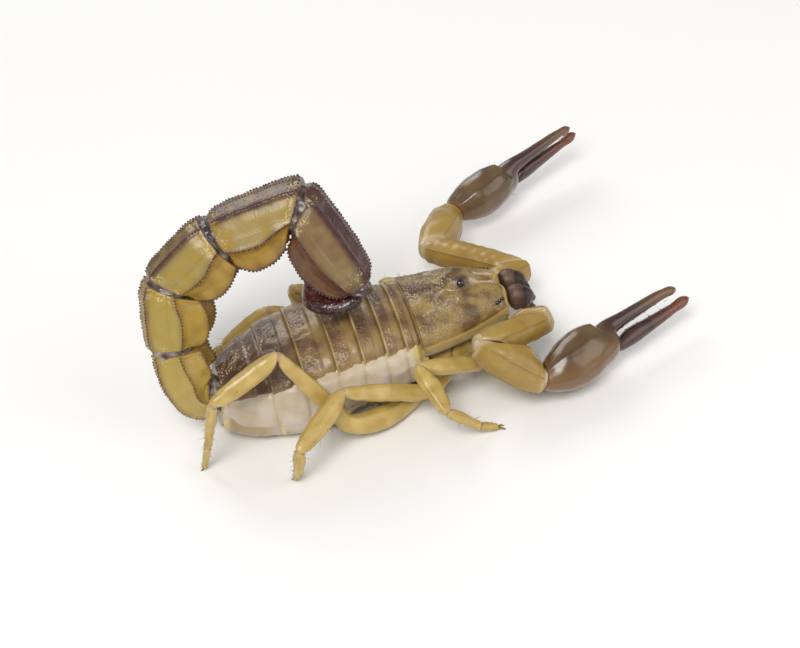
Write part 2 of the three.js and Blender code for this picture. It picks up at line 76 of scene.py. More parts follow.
def vec(x: float, y: float, z: float) -> Array:
    """A point or direction in the animal's frame."""
    return np.array([x, y, z], float)


def unit(v: Array) -> Array:
    """The directions of v, along its last axis."""
    return v / np.maximum(np.linalg.norm(v, axis=-1, keepdims=True), 1e-12)


def held(x: Array) -> Array:
    """The values of x held between 0 and 1."""
    return np.clip(x, 0, 1)


def smooth(low: float, high: float, x: Array) -> Array:
    """0 below low, 1 above high, and a cubic ease between them."""
    t = held((x - low) / (high - low))
    return t * t * (3 - 2 * t)


def hill(x: Array, centre: float | Array, width: float | Array) -> Array:
    """A bell of height 1 round centre: exp(-((x - centre) / width) squared)."""
    return np.exp(-(((x - centre) / width) ** 2))


def curve_through(stops: Line, x: Array) -> Array:
    """A smooth line through (place, value) stops, by cubic Hermite pieces with averaged slopes.

    Args:
        stops: pairs of place and value, with rising places.
        x: where to read the line.

    Returns:
        The line's value at each x, held constant past both ends.
    """
    xs, ys = (np.array(c, float) for c in zip(*stops))
    slopes = np.gradient(ys, xs)
    x = np.clip(x, xs[0], xs[-1])
    i = np.clip(np.searchsorted(xs, x, side="right") - 1, 0, len(xs) - 2)
    span = xs[i + 1] - xs[i]
    t = (x - xs[i]) / span
    return ((2 * t**3 - 3 * t**2 + 1) * ys[i] + (t**3 - 2 * t**2 + t) * span * slopes[i]
            + (3 * t**2 - 2 * t**3) * ys[i + 1] + (t**3 - t**2) * span * slopes[i + 1])


def read_rows(rows: Rows, x: Array) -> list[Array]:
    """The later columns of a table of sizes, read smoothly at places x of its first column."""
    return [curve_through([(row[0], row[k]) for row in rows], x) for k in range(1, len(rows[0]))]


def waves(points: Array, size: float, seed: int, count: int = 14) -> Array:
    """Soft irregular waves about zero: the mean of sines of random direction, about size mm long.

    Args:
        points: places, with x, y, z along the last axis.
        size: typical wavelength in mm.
        seed: which pattern.
        count: how many sines.

    Returns:
        A value of about -1 to 1 for each place.
    """
    rng = np.random.default_rng(seed)
    k = unit(rng.normal(size=(count, 3))) * TAU / (size * rng.uniform(0.7, 1.5, (count, 1)))
    return np.sin(points @ k.T + rng.uniform(0, TAU, count)).sum(-1) / np.sqrt(count)


def granules(a: Array, b: Array, pitch: float, seed: int) -> Array:
    """Small round domes of random place and radius, one for each cell of a lattice over a surface.

    Args:
        a: distance along the surface, in mm.
        b: distance across it, in mm.
        pitch: size of a cell.
        seed: which pattern.

    Returns:
        The highest dome over each point: 0 between domes, to about 1 on a large one.
    """
    a, b = np.broadcast_arrays(a, b)
    i, j = np.floor(a / pitch), np.floor(b / pitch)
    best = np.zeros_like(a)

    def chance(ci: Array, cj: Array, k: float) -> Array:
        """A repeatable number from 0 to 1 for each lattice cell."""
        return np.modf(np.abs(np.sin(ci * 127.1 + cj * 311.7 + seed * 17.3 + k) * 43758.5453))[0]

    for di in (-1, 0, 1):
        for dj in (-1, 0, 1):
            ci, cj = i + di, j + dj
            ca = (ci + 0.5 + 0.7 * (chance(ci, cj, 0) - 0.5)) * pitch
            cb = (cj + 0.5 + 0.7 * (chance(ci, cj, 5) - 0.5)) * pitch
            r = pitch * (0.22 + 0.3 * chance(ci, cj, 9))
            d2 = ((a - ca) ** 2 + (b - cb) ** 2) / r**2
            best = np.maximum(best, np.sqrt(held(1 - d2)) * r / (0.52 * pitch))
    return best


def grid_normals(points: Array, wrap: bool = True) -> Array:
    """Outward directions of a grid: across times down, turned to point away from the rows' middles.

    Args:
        points: rows by columns by 3.
        wrap: whether the last column meets the first.

    Returns:
        A unit vector for each point.
    """
    down = np.gradient(points, axis=0)
    if wrap:
        across = (np.roll(points, -1, axis=1) - np.roll(points, 1, axis=1)) / 2
    else:
        across = np.gradient(points, axis=1)
    normal = unit(np.cross(across, down))
    outward = (normal * (points - points.mean(1, keepdims=True))).sum()
    return normal * np.sign(outward)


def above_floor(points: Array, least: float) -> None:
    """Lifts those of the points that lie lower than least mm above the floor to that height."""
    points[..., 2] = np.maximum(points[..., 2], least)


# ---- Meshes ----

class Parts:
    """Vertices, faces and surface fields gathered from several closed forms, to become one mesh."""

    def __init__(self) -> None:
        """Starts empty."""
        self.points: list[Array] = []
        self.quads: list[Array] = []
        self.tris: list[Array] = []
        self.fields: dict[str, list[Array]] = {name: [] for name in FIELDS}
        self.count = 0

    def add(self, points: Array, quads: Array, tris: Array, fields: dict[str, Array]) -> None:
        """Takes one closed form, turned inside out if its signed volume is negative.

        Args:
            points: n by 3 places in mm.
            quads: faces of four points; may be empty.
            tris: faces of three points; may be empty.
            fields: values for each point; a name left out is 0.
        """
        quads = quads.reshape(-1, 4)
        tris = tris.reshape(-1, 3)
        corners = np.concatenate([quads[:, [0, 1, 2]], quads[:, [0, 2, 3]], tris])
        middle = points.mean(0)
        a, b, c = (points[corners[:, k]] - middle for k in range(3))
        if np.einsum("ij,ij->i", a, np.cross(b, c)).sum() < 0:
            quads, tris = quads[:, ::-1], tris[:, ::-1]
        self.points.append(points)
        self.quads.append(quads + self.count)
        self.tris.append(tris + self.count)
        for name in FIELDS:
            value = np.broadcast_to(np.asarray(fields.get(name, 0), float), (len(points),))
            self.fields[name].append(value)
        self.count += len(points)

    def tube(self, points: Array, **fields: Array) -> "Parts":
        """Adds a closed tube: rows of rings, joined round, with a point closing each end.

        Args:
            points: rows by columns by 3.
            fields: rows by columns of values.

        Returns:
            This same gathering, so that calls can follow each other.
        """
        rows, cols = points.shape[:2]
        index = np.arange(rows * cols).reshape(rows, cols)
        beside = np.roll(index, -1, axis=1)
        quads = np.stack([index[:-1], beside[:-1], beside[1:], index[1:]], -1)
        first, last = rows * cols, rows * cols + 1
        start = np.stack([np.full(cols, first), beside[0], index[0]], -1)
        end = np.stack([np.full(cols, last), index[-1], beside[-1]], -1)
        flat = np.concatenate([points.reshape(-1, 3), points[:1].mean(1), points[-1:].mean(1)])
        values = {}
        for name, value in fields.items():
            grid = np.broadcast_to(value, (rows, cols))
            values[name] = np.concatenate([grid.reshape(-1), [grid[0].mean(), grid[-1].mean()]])
        self.add(flat, quads, np.concatenate([start, end]), values)
        return self

    def shell(self, top: Array, bottom: Array, **fields: Array) -> "Parts":
        """Adds a plate between two open grids of one size, joined all round their edge.

        Args:
            top: rows by columns by 3.
            bottom: the same on the inner side.
            fields: rows by columns of values, for both sides.

        Returns:
            This same gathering.
        """
        rows, cols = top.shape[:2]
        up = np.arange(rows * cols).reshape(rows, cols)
        low = up + rows * cols

        def faces(i: Array) -> Array:
            """The quads of an open grid of indices."""
            return np.stack([i[:-1, :-1], i[:-1, 1:], i[1:, 1:], i[1:, :-1]], -1).reshape(-1, 4)

        ring = np.concatenate([up[0, :-1], up[:-1, -1], up[-1, :0:-1], up[:0:-1, 0]])
        ahead = np.roll(ring, -1)
        edge = np.stack([ring, ring + rows * cols, ahead + rows * cols, ahead], -1)
        flat = np.concatenate([top.reshape(-1, 3), bottom.reshape(-1, 3)])
        values = {n: np.tile(np.broadcast_to(v, (rows, cols)).reshape(-1), 2) for n, v in fields.items()}
        self.add(flat, np.concatenate([faces(up), faces(low)[:, ::-1], edge]), np.zeros((0, 3), int), values)
        return self

    def beads(self, centres: Array, axes: Array, sizes: Array, **fields: Array) -> None:
        """Adds small round beads: one ball pattern stretched along three directions at each centre.

        Args:
            centres: n by 3.
            axes: n by 3 by 3, the three directions of each bead as rows.
            sizes: n by 3 radii along those directions, or numbers that spread to that.
            fields: one value for each bead.
        """
        rows, cols = 5, 8
        polar = np.pi * (np.arange(rows) + 0.5) / rows
        turn = TAU * np.arange(cols) / cols
        out = np.sin(polar)[:, None]
        ball = np.broadcast_arrays(out * np.cos(turn), out * np.sin(turn), np.cos(polar)[:, None])
        ball = np.stack(ball, -1).reshape(-1, 3)
        ball = np.concatenate([ball, [[0, 0, 1], [0, 0, -1]]])
        index = np.arange(rows * cols).reshape(rows, cols)
        beside = np.roll(index, -1, axis=1)
        quads = np.stack([index[:-1], index[1:], beside[1:], beside[:-1]], -1).reshape(-1, 4)
        pole, foot = rows * cols, rows * cols + 1
        caps = [np.full(cols, pole), index[0], beside[0]], [np.full(cols, foot), beside[-1], index[-1]]
        tris = np.concatenate([np.stack(cap, -1) for cap in caps])
        n, size = len(centres), len(ball)
        sizes = np.broadcast_to(np.asarray(sizes, float), (n, 3))
        stretched = np.einsum("kj,nj,njc->nkc", ball, sizes, axes) + centres[:, None, :]
        offset = (np.arange(n) * size)[:, None, None]
        values = {name: np.repeat(np.broadcast_to(v, (n,)), size) for name, v in fields.items()}
        self.add(stretched.reshape(-1, 3), (quads[None] + offset).reshape(-1, 4),
                 (tris[None] + offset).reshape(-1, 3), values)


# ---- Shader graphs ----

class Value:
    """A number socket that takes part in Python arithmetic: each operator adds a Math node."""

    def __init__(self, graph: "Graph", socket: bpy.types.NodeSocket) -> None:
        """Wraps socket of graph."""
        self.graph = graph
        self.socket = socket

    def __add__(self, other: "Value | float") -> "Value":
        """Sum."""
        return self.graph.maths("ADD", self, other)

    __radd__ = __add__

    def __mul__(self, other: "Value | float") -> "Value":
        """Product."""
        return self.graph.maths("MULTIPLY", self, other)

    __rmul__ = __mul__

    def __sub__(self, other: "Value | float") -> "Value":
        """Difference."""
        return self.graph.maths("SUBTRACT", self, other)

    def __rsub__(self, other: float) -> "Value":
        """Difference the other way round."""
        return self.graph.maths("SUBTRACT", other, self)

    def between(self, low: float, high: float) -> "Value":
        """0 below low, 1 above high, with an eased step between them."""
        node = self.graph.node(
            "ShaderNodeMapRange", {"interpolation_type": "SMOOTHSTEP"},
            {"Value": self, "From Min": low, "From Max": high})
        return Value(self.graph, node.outputs["Result"])

    def clamped(self) -> "Value":
        """The value held between 0 and 1."""
        return Value(self.graph, self.graph.node("ShaderNodeClamp", {}, {"Value": self}).outputs[0])


class Graph:
    """One material's node tree, with one method that makes every node."""

    def __init__(self, name: str) -> None:
        """Starts an empty material.

        Args:
            name: the material's name.
        """
        self.material = bpy.data.materials.new(name)
        self.material.use_nodes = True
        self.tree = self.material.node_tree
        self.tree.nodes.clear()

    def node(self, kind: str, settings: dict, inputs: dict) -> bpy.types.Node:
        """Adds a node.

        Args:
            kind: Blender's node type.
            settings: properties of the node, set first.
            inputs: socket name or number to a plain value, a Value or a socket to link from.

        Returns:
            The node.
        """
        made = self.tree.nodes.new(kind)
        for key, value in settings.items():
            setattr(made, key, value)
        for key, value in inputs.items():
            socket = made.inputs[key]
            if isinstance(value, Value):
                value = value.socket
            if isinstance(value, bpy.types.NodeSocket):
                self.tree.links.new(value, socket)
            elif isinstance(value, tuple) and len(value) == 3 and socket.type == "RGBA":
                socket.default_value = (*value, 1)
            else:
                socket.default_value = value
        return made

    def maths(self, operation: str, *values: "Value | float") -> Value:
        """A Math node on one, two or three values."""
        made = self.node("ShaderNodeMath", {"operation": operation}, dict(enumerate(values)))
        return Value(self, made.outputs[0])

    def mix(self, factor: Value, a: "Colour | bpy.types.NodeSocket", b: Colour) -> bpy.types.NodeSocket:
        """A colour that goes from a to b as factor goes from 0 to 1."""
        settings = {"data_type": "RGBA", "blend_type": "MIX", "clamp_factor": True}
        return self.node("ShaderNodeMix", settings, {0: factor, 6: a, 7: b}).outputs[2]

    def surface(self, name: str) -> Value:
        """A field written on the mesh, such as how near a keel a point lies."""
        made = self.node("ShaderNodeAttribute", {"attribute_name": name, "attribute_type": "GEOMETRY"}, {})
        return Value(self, made.outputs["Fac"])

    def place(self) -> bpy.types.NodeSocket:
        """Object coordinates, which are metres in the frame of the solids."""
        return self.node("ShaderNodeTexCoord", {}, {}).outputs["Object"]

    def noise(self, size: float, detail: float = 3.0, rough: float = 0.55, warp: float = 0.0) -> Value:
        """Cloudy noise from 0 to 1.

        Args:
            size: how large its blotches are, in mm.
            detail: number of finer layers.
            rough: strength of the finer layers.
            warp: how far the blotches are pulled out of shape.

        Returns:
            The noise.
        """
        made = self.node("ShaderNodeTexNoise", {}, {
            "Vector": self.place(), "Scale": 1000 / size, "Detail": detail, "Roughness": rough,
            "Distortion": warp})
        return Value(self, made.outputs["Fac"])

    def cells(self, size: float) -> Value:
        """Distance from the nearest of scattered points about size mm apart, 0 at a point."""
        inputs = {"Vector": self.place(), "Scale": 1000 / size}
        return Value(self, self.node("ShaderNodeTexVoronoi", {"feature": "F1"}, inputs).outputs["Distance"])

    def finished(self, inputs: dict) -> bpy.types.Material:
        """Ends the tree in a Principled shader.

        Args:
            inputs: what its sockets are set to.

        Returns:
            The material.
        """
        shader = self.node("ShaderNodeBsdfPrincipled", {}, inputs)
        self.node("ShaderNodeOutputMaterial", {}, {"Surface": shader.outputs[0]})
        return self.material


def srgb(red: int, green: int, blue: int) -> Colour:
    """A colour given by its everyday 0-255 numbers, as the linear light that shaders use."""
    return tuple(
        ((c / 255 + 0.055) / 1.055) ** 2.4 if c > 10 else c / 255 / 12.92 for c in (red, green, blue))


@dataclass(frozen=True)
class Cuticle:
    """A finish of scorpion cuticle: a ground colour with clouds, dark keels, pale rims and dust."""

    name: str
    ground: Colour
    cloud: Colour
    keel: Colour = srgb(74, 34, 24)
    rim: Colour = srgb(196, 168, 92)
    pale: Colour = srgb(214, 196, 150)
    dust: Colour = srgb(226, 208, 160)
    cloud_size: float = 2.2
    grain_size: float = 0.16
    grain_height: float = 0.25
    speckle: float = 0.25
    roughness: float = 0.38
    coat: float = 0.25
    glow: float = 0.0

    def build(self) -> bpy.types.Material:
        """Builds the node tree.

        Returns:
            The material, which reads the mesh fields keel, rim, tone, pale and dust.
        """
        g = Graph(self.name)
        clouds = g.noise(self.cloud_size, 4, 0.6, 0.4)
        fine = g.noise(0.35, 3, 0.6)
        tone = (clouds - 0.5) * 1.6 + g.surface("tone") + (fine - 0.5) * 0.5
        colour = g.mix((tone + 0.5).clamped(), self.ground, self.cloud)
        grain = g.cells(self.grain_size)
        specks = 1 - grain.between(0.12, 0.42)
        colour = g.mix(specks * self.speckle, colour, self.keel)
        # on some pieces the pale field also carries painted glints and sheen, and the keel field painted
        # shade
        pale = g.surface("pale") + (fine - 0.5) * 0.25 * g.surface("pale")
        colour = g.mix(pale.clamped(), colour, self.pale)
        colour = g.mix(g.surface("rim").clamped(), colour, self.rim)
        colour = g.mix((g.surface("keel") * (0.8 + fine * 0.4)).clamped(), colour, self.keel)
        flakes = g.noise(0.22, 2, 0.7).between(0.52, 0.60) * g.noise(1.3, 2).between(0.42, 0.62)
        dust = (flakes * g.surface("dust")).clamped()
        colour = g.mix(dust, colour, self.dust)
        rough = self.roughness + (fine - 0.5) * 0.18 + dust * 0.3
        height = (1 - grain.between(0, 0.55)) * self.grain_height + fine * 0.35 + dust * 0.3
        bump = g.node("ShaderNodeBump", {}, {"Height": height, "Strength": 0.5, "Distance": 0.00006})
        return g.finished({
            "Base Color": colour, "Roughness": rough.clamped(), "Normal": bump.outputs["Normal"],
            "Coat Weight": self.coat, "Coat Roughness": 0.22, "IOR": 1.5, "Subsurface Weight": self.glow,
            "Subsurface Scale": 0.0006, "Subsurface Radius": (1, 0.55, 0.25)})


@dataclass(frozen=True)
class EyeGlass:
    """The black, mirror-smooth lens of an eye, a little brown at its foot."""

    name: str = "eye_lens"
    lens: Colour = srgb(10, 8, 8)
    foot: Colour = srgb(46, 26, 16)

    def build(self) -> bpy.types.Material:
        """Builds the node tree.

        Returns:
            The material.
        """
        g = Graph(self.name)
        colour = g.mix(g.surface("rim").clamped(), self.lens, self.foot)
        rough = 0.05 + g.noise(0.3).between(0.4, 0.8) * 0.06
        return g.finished({"Base Color": colour, "Roughness": rough, "Coat Weight": 0.6,
                           "Coat Roughness": 0.04, "IOR": 1.55})


@dataclass(frozen=True)
class PlainStage:
    """The pale floor, which shows white to the camera and keeps the animal's shadow."""

    name: str = "stage_floor"
    colour: Colour = (0.92, 0.92, 0.91)

    def build(self) -> bpy.types.Material:
        """Builds the node tree.

        Returns:
            The material.
        """
        g = Graph(self.name)
        tint = g.mix(g.noise(60, 2), self.colour, tuple(0.98 * c for c in self.colour))
        return g.finished({"Base Color": tint, "Roughness": 0.8})


class Finish(Enum):
    """Every finish of the animal, by what it covers."""

    SHIELD = Cuticle(
        "shield_cuticle", srgb(152, 126, 72), srgb(102, 76, 46), keel=srgb(48, 32, 25),
        rim=srgb(188, 160, 88), pale=srgb(206, 186, 158), dust=srgb(208, 192, 156), grain_size=0.2,
        grain_height=0.8, speckle=0.34, roughness=0.34)
    BACK = Cuticle(
        "back_plate_cuticle", srgb(140, 110, 66), srgb(88, 62, 46), keel=srgb(58, 38, 32),
        rim=srgb(182, 158, 98), pale=srgb(150, 126, 76), dust=srgb(204, 184, 142), grain_size=0.22,
        grain_height=0.5, speckle=0.2, roughness=0.36)
    SIDE = Cuticle(
        "side_skin", srgb(202, 188, 166), srgb(188, 170, 144), keel=srgb(172, 150, 100),
        pale=srgb(210, 201, 197), grain_height=0.08, speckle=0.04, roughness=0.34, glow=0.15)
    BELLY = Cuticle(
        "belly_plate_cuticle", srgb(186, 174, 146), srgb(170, 148, 112), keel=srgb(138, 108, 64),
        rim=srgb(206, 188, 140), pale=srgb(198, 194, 192), grain_height=0.1, speckle=0.05, roughness=0.26,
        glow=0.1)
    LEG = Cuticle(
        "leg_cuticle", srgb(194, 168, 98), srgb(176, 147, 76), keel=srgb(128, 98, 46),
        pale=srgb(202, 180, 126), rim=srgb(192, 166, 100), cloud_size=3, grain_height=0.08, speckle=0.03,
        roughness=0.32, glow=0.15)
    ARM = Cuticle(
        "arm_cuticle", srgb(164, 134, 62), srgb(148, 116, 52), keel=srgb(98, 66, 36),
        pale=srgb(196, 176, 140), cloud_size=4.5, grain_height=0.1, speckle=0.04, roughness=0.34, glow=0.1)
    HAND = Cuticle(
        "hand_cuticle", srgb(106, 84, 52), srgb(86, 62, 38), keel=srgb(56, 34, 27), pale=srgb(124, 88, 50),
        rim=srgb(64, 38, 34), cloud_size=3.4, grain_height=0.04, speckle=0.03, roughness=0.24, coat=0.5)
    FINGER = Cuticle(
        "finger_cuticle", srgb(74, 44, 36), srgb(52, 32, 30), keel=srgb(34, 20, 20), pale=srgb(122, 68, 40),
        grain_height=0.05, speckle=0.03, roughness=0.28, coat=0.35)
    TAIL_1 = Cuticle(
        "tail_1", srgb(168, 138, 60), srgb(148, 116, 46), keel=srgb(80, 38, 27), rim=srgb(126, 98, 50),
        pale=srgb(174, 152, 80), dust=srgb(208, 188, 130), grain_height=0.1, speckle=0.04, roughness=0.36,
        coat=0.2, glow=0.1)
    TAIL_2 = replace(
        TAIL_1, name="tail_2", ground=srgb(166, 136, 50), cloud=srgb(148, 114, 40), rim=srgb(112, 86, 46),
        pale=srgb(164, 144, 70))
    TAIL_3 = replace(
        TAIL_1, name="tail_3", ground=srgb(162, 131, 48), cloud=srgb(142, 107, 40), glow=0,
        keel=srgb(72, 32, 27), rim=srgb(92, 72, 44), pale=srgb(154, 136, 76))
    TAIL_4 = replace(
        TAIL_3, name="tail_4", ground=srgb(163, 128, 42), cloud=srgb(142, 102, 36), keel=srgb(66, 28, 28),
        rim=srgb(86, 66, 44), pale=srgb(154, 134, 82))
    TAIL_5 = replace(
        TAIL_3, name="tail_5", ground=srgb(108, 70, 38), cloud=srgb(88, 52, 34), keel=srgb(66, 28, 28),
        rim=srgb(68, 43, 39), pale=srgb(126, 104, 64), coat=0.3)
    STING = Cuticle(
        "sting_cuticle", srgb(58, 26, 24), srgb(34, 17, 18), keel=srgb(130, 104, 98), pale=srgb(92, 42, 32),
        grain_height=0.12, speckle=0.05, roughness=0.24, coat=0.6)
    CHELICERA = Cuticle(
        "chelicera_cuticle", srgb(74, 46, 34), srgb(50, 30, 26), keel=srgb(28, 16, 15),
        pale=srgb(136, 106, 78), grain_height=0.4, speckle=0.3, grain_size=0.24, roughness=0.5, coat=0.08)
    COMB = Cuticle(
        "comb_cuticle", srgb(206, 178, 108), srgb(188, 152, 84), grain_height=0.08, speckle=0.03,
        roughness=0.35)
    JOINT = Cuticle(
        "joint_skin", srgb(182, 154, 108), srgb(162, 128, 84), keel=srgb(136, 98, 62),
        pale=srgb(208, 198, 184), grain_height=0.1, speckle=0.05, roughness=0.32, coat=0.3, glow=0.15)
    TAIL_JOINT = Cuticle(
        "tail_joint_skin", srgb(108, 86, 78), srgb(66, 44, 44), keel=srgb(46, 26, 28),
        pale=srgb(186, 176, 168), grain_height=0.1, speckle=0.05, roughness=0.3, coat=0.4)
    BRISTLE = Cuticle("bristle", srgb(120, 74, 36), srgb(90, 52, 28), speckle=0, grain_height=0)
    LENS = EyeGlass()


TAIL_FINISHES = (Finish.TAIL_1, Finish.TAIL_2, Finish.TAIL_3, Finish.TAIL_4, Finish.TAIL_5)


class Workshop:
    """Turns gathered forms into dressed pieces in the frame of the solids."""

    def __init__(self) -> None:
        """Reads where the animal stands from the head shield's solid: its rear margin and midline."""
        low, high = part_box("carapace")
        self.shift = np.array([low[0], (low[1] + high[1]) / 2, 0.0]) * 1000.0
        self.materials: dict[Finish, bpy.types.Material] = {}

    def metres(self, points: Array) -> Array:
        """Animal millimetres as metres in the frame of the solids."""
        return (points + self.shift) / 1000

    def material(self, finish: Finish) -> bpy.types.Material:
        """A finish's material, built the first time that it is asked for.

        Args:
            finish: the finish.

        Returns:
            The material.
        """
        if finish not in self.materials:
            self.materials[finish] = finish.value.build()
        return self.materials[finish]

    def piece(self, name: str, parts: Parts, finish: Finish, slot: str, *nodes: str,
              patches: Array | None = None) -> None:
        """Makes one dressed piece that rides on the animal.

        Args:
            name: the piece's name.
            parts: its forms, in animal millimetres.
            finish: what it is finished in.
            slot: the record's material slot; not used.
            nodes: the solids that it stands for.
            patches: for bristles, a UV place for each vertex.
        """
        points = self.metres(np.concatenate(parts.points))
        quads, tris = np.concatenate(parts.quads), np.concatenate(parts.tris)
        mesh = bpy.data.meshes.new(name)
        mesh.vertices.add(len(points))
        mesh.vertices.foreach_set("co", points.astype(np.float32).ravel())
        corners = np.concatenate([quads.ravel(), tris.ravel()]).astype(np.int32)
        totals = np.concatenate([np.full(len(quads), 4), np.full(len(tris), 3)]).astype(np.int32)
        starts = np.concatenate([[0], np.cumsum(totals)[:-1]]).astype(np.int32)
        mesh.loops.add(len(corners))
        mesh.loops.foreach_set("vertex_index", corners)
        mesh.polygons.add(len(totals))
        mesh.polygons.foreach_set("loop_start", starts)
        mesh.polygons.foreach_set("use_smooth", np.ones(len(totals), bool))
        mesh.update(calc_edges=True)
        for key in FIELDS:
            values = np.concatenate(parts.fields[key]).astype(np.float32)
            mesh.attributes.new(key, "FLOAT", "POINT").data.foreach_set("value", values)
        if patches is not None:
            layer = mesh.uv_layers.new(name="OFBake")
            layer.uv.foreach_set("vector", patches[corners].astype(np.float32).ravel())
        mesh.materials.append(self.material(finish))
        made = bpy.data.objects.new(name, mesh)
        bpy.context.scene.collection.objects.link(made)
        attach(made, "root")
        if nodes:
            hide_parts(*nodes)
        log.info("%s: %d triangles, stands for %s", name, 2 * len(quads) + len(tris), ", ".join(nodes) or "-")

class Assembly:
    """A sub-assembly, whose build method makes its pieces in a workshop."""

    shop: Workshop

    def build_in(self, shop: Workshop) -> None:
        """Builds it in this workshop."""
        self.shop = shop
        self.build()


# ---- Paths that limb and tail segments follow ----

@dataclass
class Path:
    """The centre line of one segment and its sizes, with ends cut on the planes it shares.

    stops are (place, half-width, half-depth), with a fourth number where the dorsal half is deeper.
    dorsal is one direction, or one for each stop. before and after are the runs of the neighbouring
    segments, gap is the clear space at each end, and fade says how many half-depths the slant of an
    end plane reaches in.
    """

    stops: Sequence[tuple]
    dorsal: Array
    before: Array | None = None
    after: Array | None = None
    gap: float = 0.08
    fade: float = 3.2
    reach: float = 0.6

    def __post_init__(self) -> None:
        """Measures the line and its end slants."""
        self.points = np.array([s[0] for s in self.stops], float)
        self.sizes = np.array([(s[1], s[2], s[-1]) for s in self.stops], float)
        steps = np.linalg.norm(np.diff(self.points, axis=0), axis=1)
        self.places = np.concatenate([[0], np.cumsum(steps)])
        self.length = float(self.places[-1])
        first, final = unit(self.points[1] - self.points[0]), unit(self.points[-1] - self.points[-2])
        self.slant_start = np.zeros(3) if self.before is None else unit(self.before + first) - first
        self.slant_end = np.zeros(3) if self.after is None else unit(self.after + final) - final

    def read(self, values: Array, t: Array) -> Array:
        """Values given at the stops, read smoothly at fractions t: n by their own columns."""
        s = held(np.asarray(t, float)) * self.length
        return np.stack([curve_through(list(zip(self.places, column)), s) for column in values.T], -1)

    def axes(self, t: Array) -> tuple[Array, Array, Array, Array]:
        """The line and the directions of its section.

        Args:
            t: n fractions of the line.

        Returns:
            Centre, run, side and dorsal direction, each n by 3. The run is read a little to both sides.
        """
        t, step = np.asarray(t, float), 0.02
        run = unit(self.read(self.points, np.minimum(t + step, 1))
                   - self.read(self.points, np.maximum(t - step, 0)))
        dorsal = np.asarray(self.dorsal, float)
        if dorsal.ndim == 2:
            dorsal = self.read(dorsal, t)
        side = unit(np.cross(dorsal, run))
        return self.read(self.points, t), run, side, np.cross(run, side)

    def place(self, t: Array, x: Array, y: Array) -> Array:
        """Points of a surface given by its section at each fraction of the line.

        Args:
            t: n fractions from 0 to 1.
            x: n by m distances to the side.
            y: n by m distances towards the dorsal side.

        Returns:
            n by m by 3 points. Each slides along the run on to its ring's plane, which turns from the
            shared plane at an end to square across within fade half-depths.
        """
        trim = self.gap / self.length
        t = trim + np.asarray(t, float) * (1 - 2 * trim)
        centre, run, side, up = self.axes(t)
        depth = self.read(self.sizes[:, 1:2], t)[:, 0]
        near = held(1 - t * self.length / (self.fade * depth))[:, None]
        far = held(1 - (1 - t) * self.length / (self.fade * depth))[:, None]
        plane = unit(run + near * self.slant_start + far * self.slant_end)[:, None, :]
        offset = x[..., None] * side[:, None] + y[..., None] * up[:, None]
        slide = -(offset * plane).sum(-1) / (run[:, None] * plane).sum(-1)
        limit = (self.reach * depth)[:, None]
        slide = np.where(t[:, None] < 0.5, np.maximum(slide, -limit), np.minimum(slide, limit))
        return centre[:, None] + offset + slide[..., None] * run[:, None]


def round_section(angle: Array, half: Array, above: Array, below: Array,
                  square: float = 2.3) -> tuple[Array, Array]:
    """A rounded section: a superellipse with its own height above and below the middle.

    Args:
        angle: where round the section.
        half: half-width.
        above: height above the middle.
        below: depth under it.
        square: exponent; 2 is an ellipse, and more is squarer.

    Returns:
        Distances to the side and upwards: size times sign times (cosine or sine) to the power 2 / square.
    """
    c, s = np.cos(angle), np.sin(angle)
    x = half * np.sign(c) * np.abs(c) ** (2 / square)
    y = np.where(s > 0, above, below) * np.sign(s) * np.abs(s) ** (2 / square)
    return x, y


def ring_angles(count: int) -> Array:
    """Angles evenly round a section, from the left side upwards."""
    return np.linspace(0, TAU, count, endpoint=False)


def end_spaced(count: int, ease: float = 0.6) -> Array:
    """Fractions 0 to 1, closer together near both ends so that rims and end caps stay round."""
    u = np.linspace(0, 1, count)
    return (1 - ease) * u + ease * (0.5 - 0.5 * np.cos(np.pi * u))


def domed(t: Array, start: float = 0.0, end: float = 0.0, least: float = 0.06) -> Array:
    """A factor that rounds off a limb: a quarter circle over the first and last shares of t.

    Args:
        t: fractions of the limb.
        start: share at its beginning.
        end: share at its end.
        least: the smallest factor, at the very end.

    Returns:
        The factor at each t.
    """
    factor = np.ones_like(t)
    for share, u in ((start, t), (end, 1 - t)):
        if share:
            factor = factor * np.sqrt(np.clip(1 - held(1 - u / share) ** 2, least**2, 1))
    return factor


def tapered(path: Path, t: Array, angle: Array, square: float = 2.2, scale: Array | float = 1.0) -> Array:
    """The plain surface of a limb: a rounded section whose half-sizes follow the path's stops.

    Args:
        path: the segment's line and sizes.
        t: n fractions.
        angle: m angles.
        square: exponent of the section.
        scale: factor on the sizes, one or n of them.

    Returns:
        n by m by 3 points.
    """
    w, below, above = (path.read(path.sizes, t) * np.reshape(scale, (-1, 1))).T[..., None]
    x, y = round_section(angle[None, :], w, above, below, square)
    return path.place(t, x, y)


def angle_gap(angle: Array, marks: Sequence[float]) -> Array:
    """How far each angle lies from the nearest of marks, given in degrees, in radians."""
    return np.min([np.abs(np.angle(np.exp(1j * (angle - np.radians(m))))) for m in marks], axis=0)


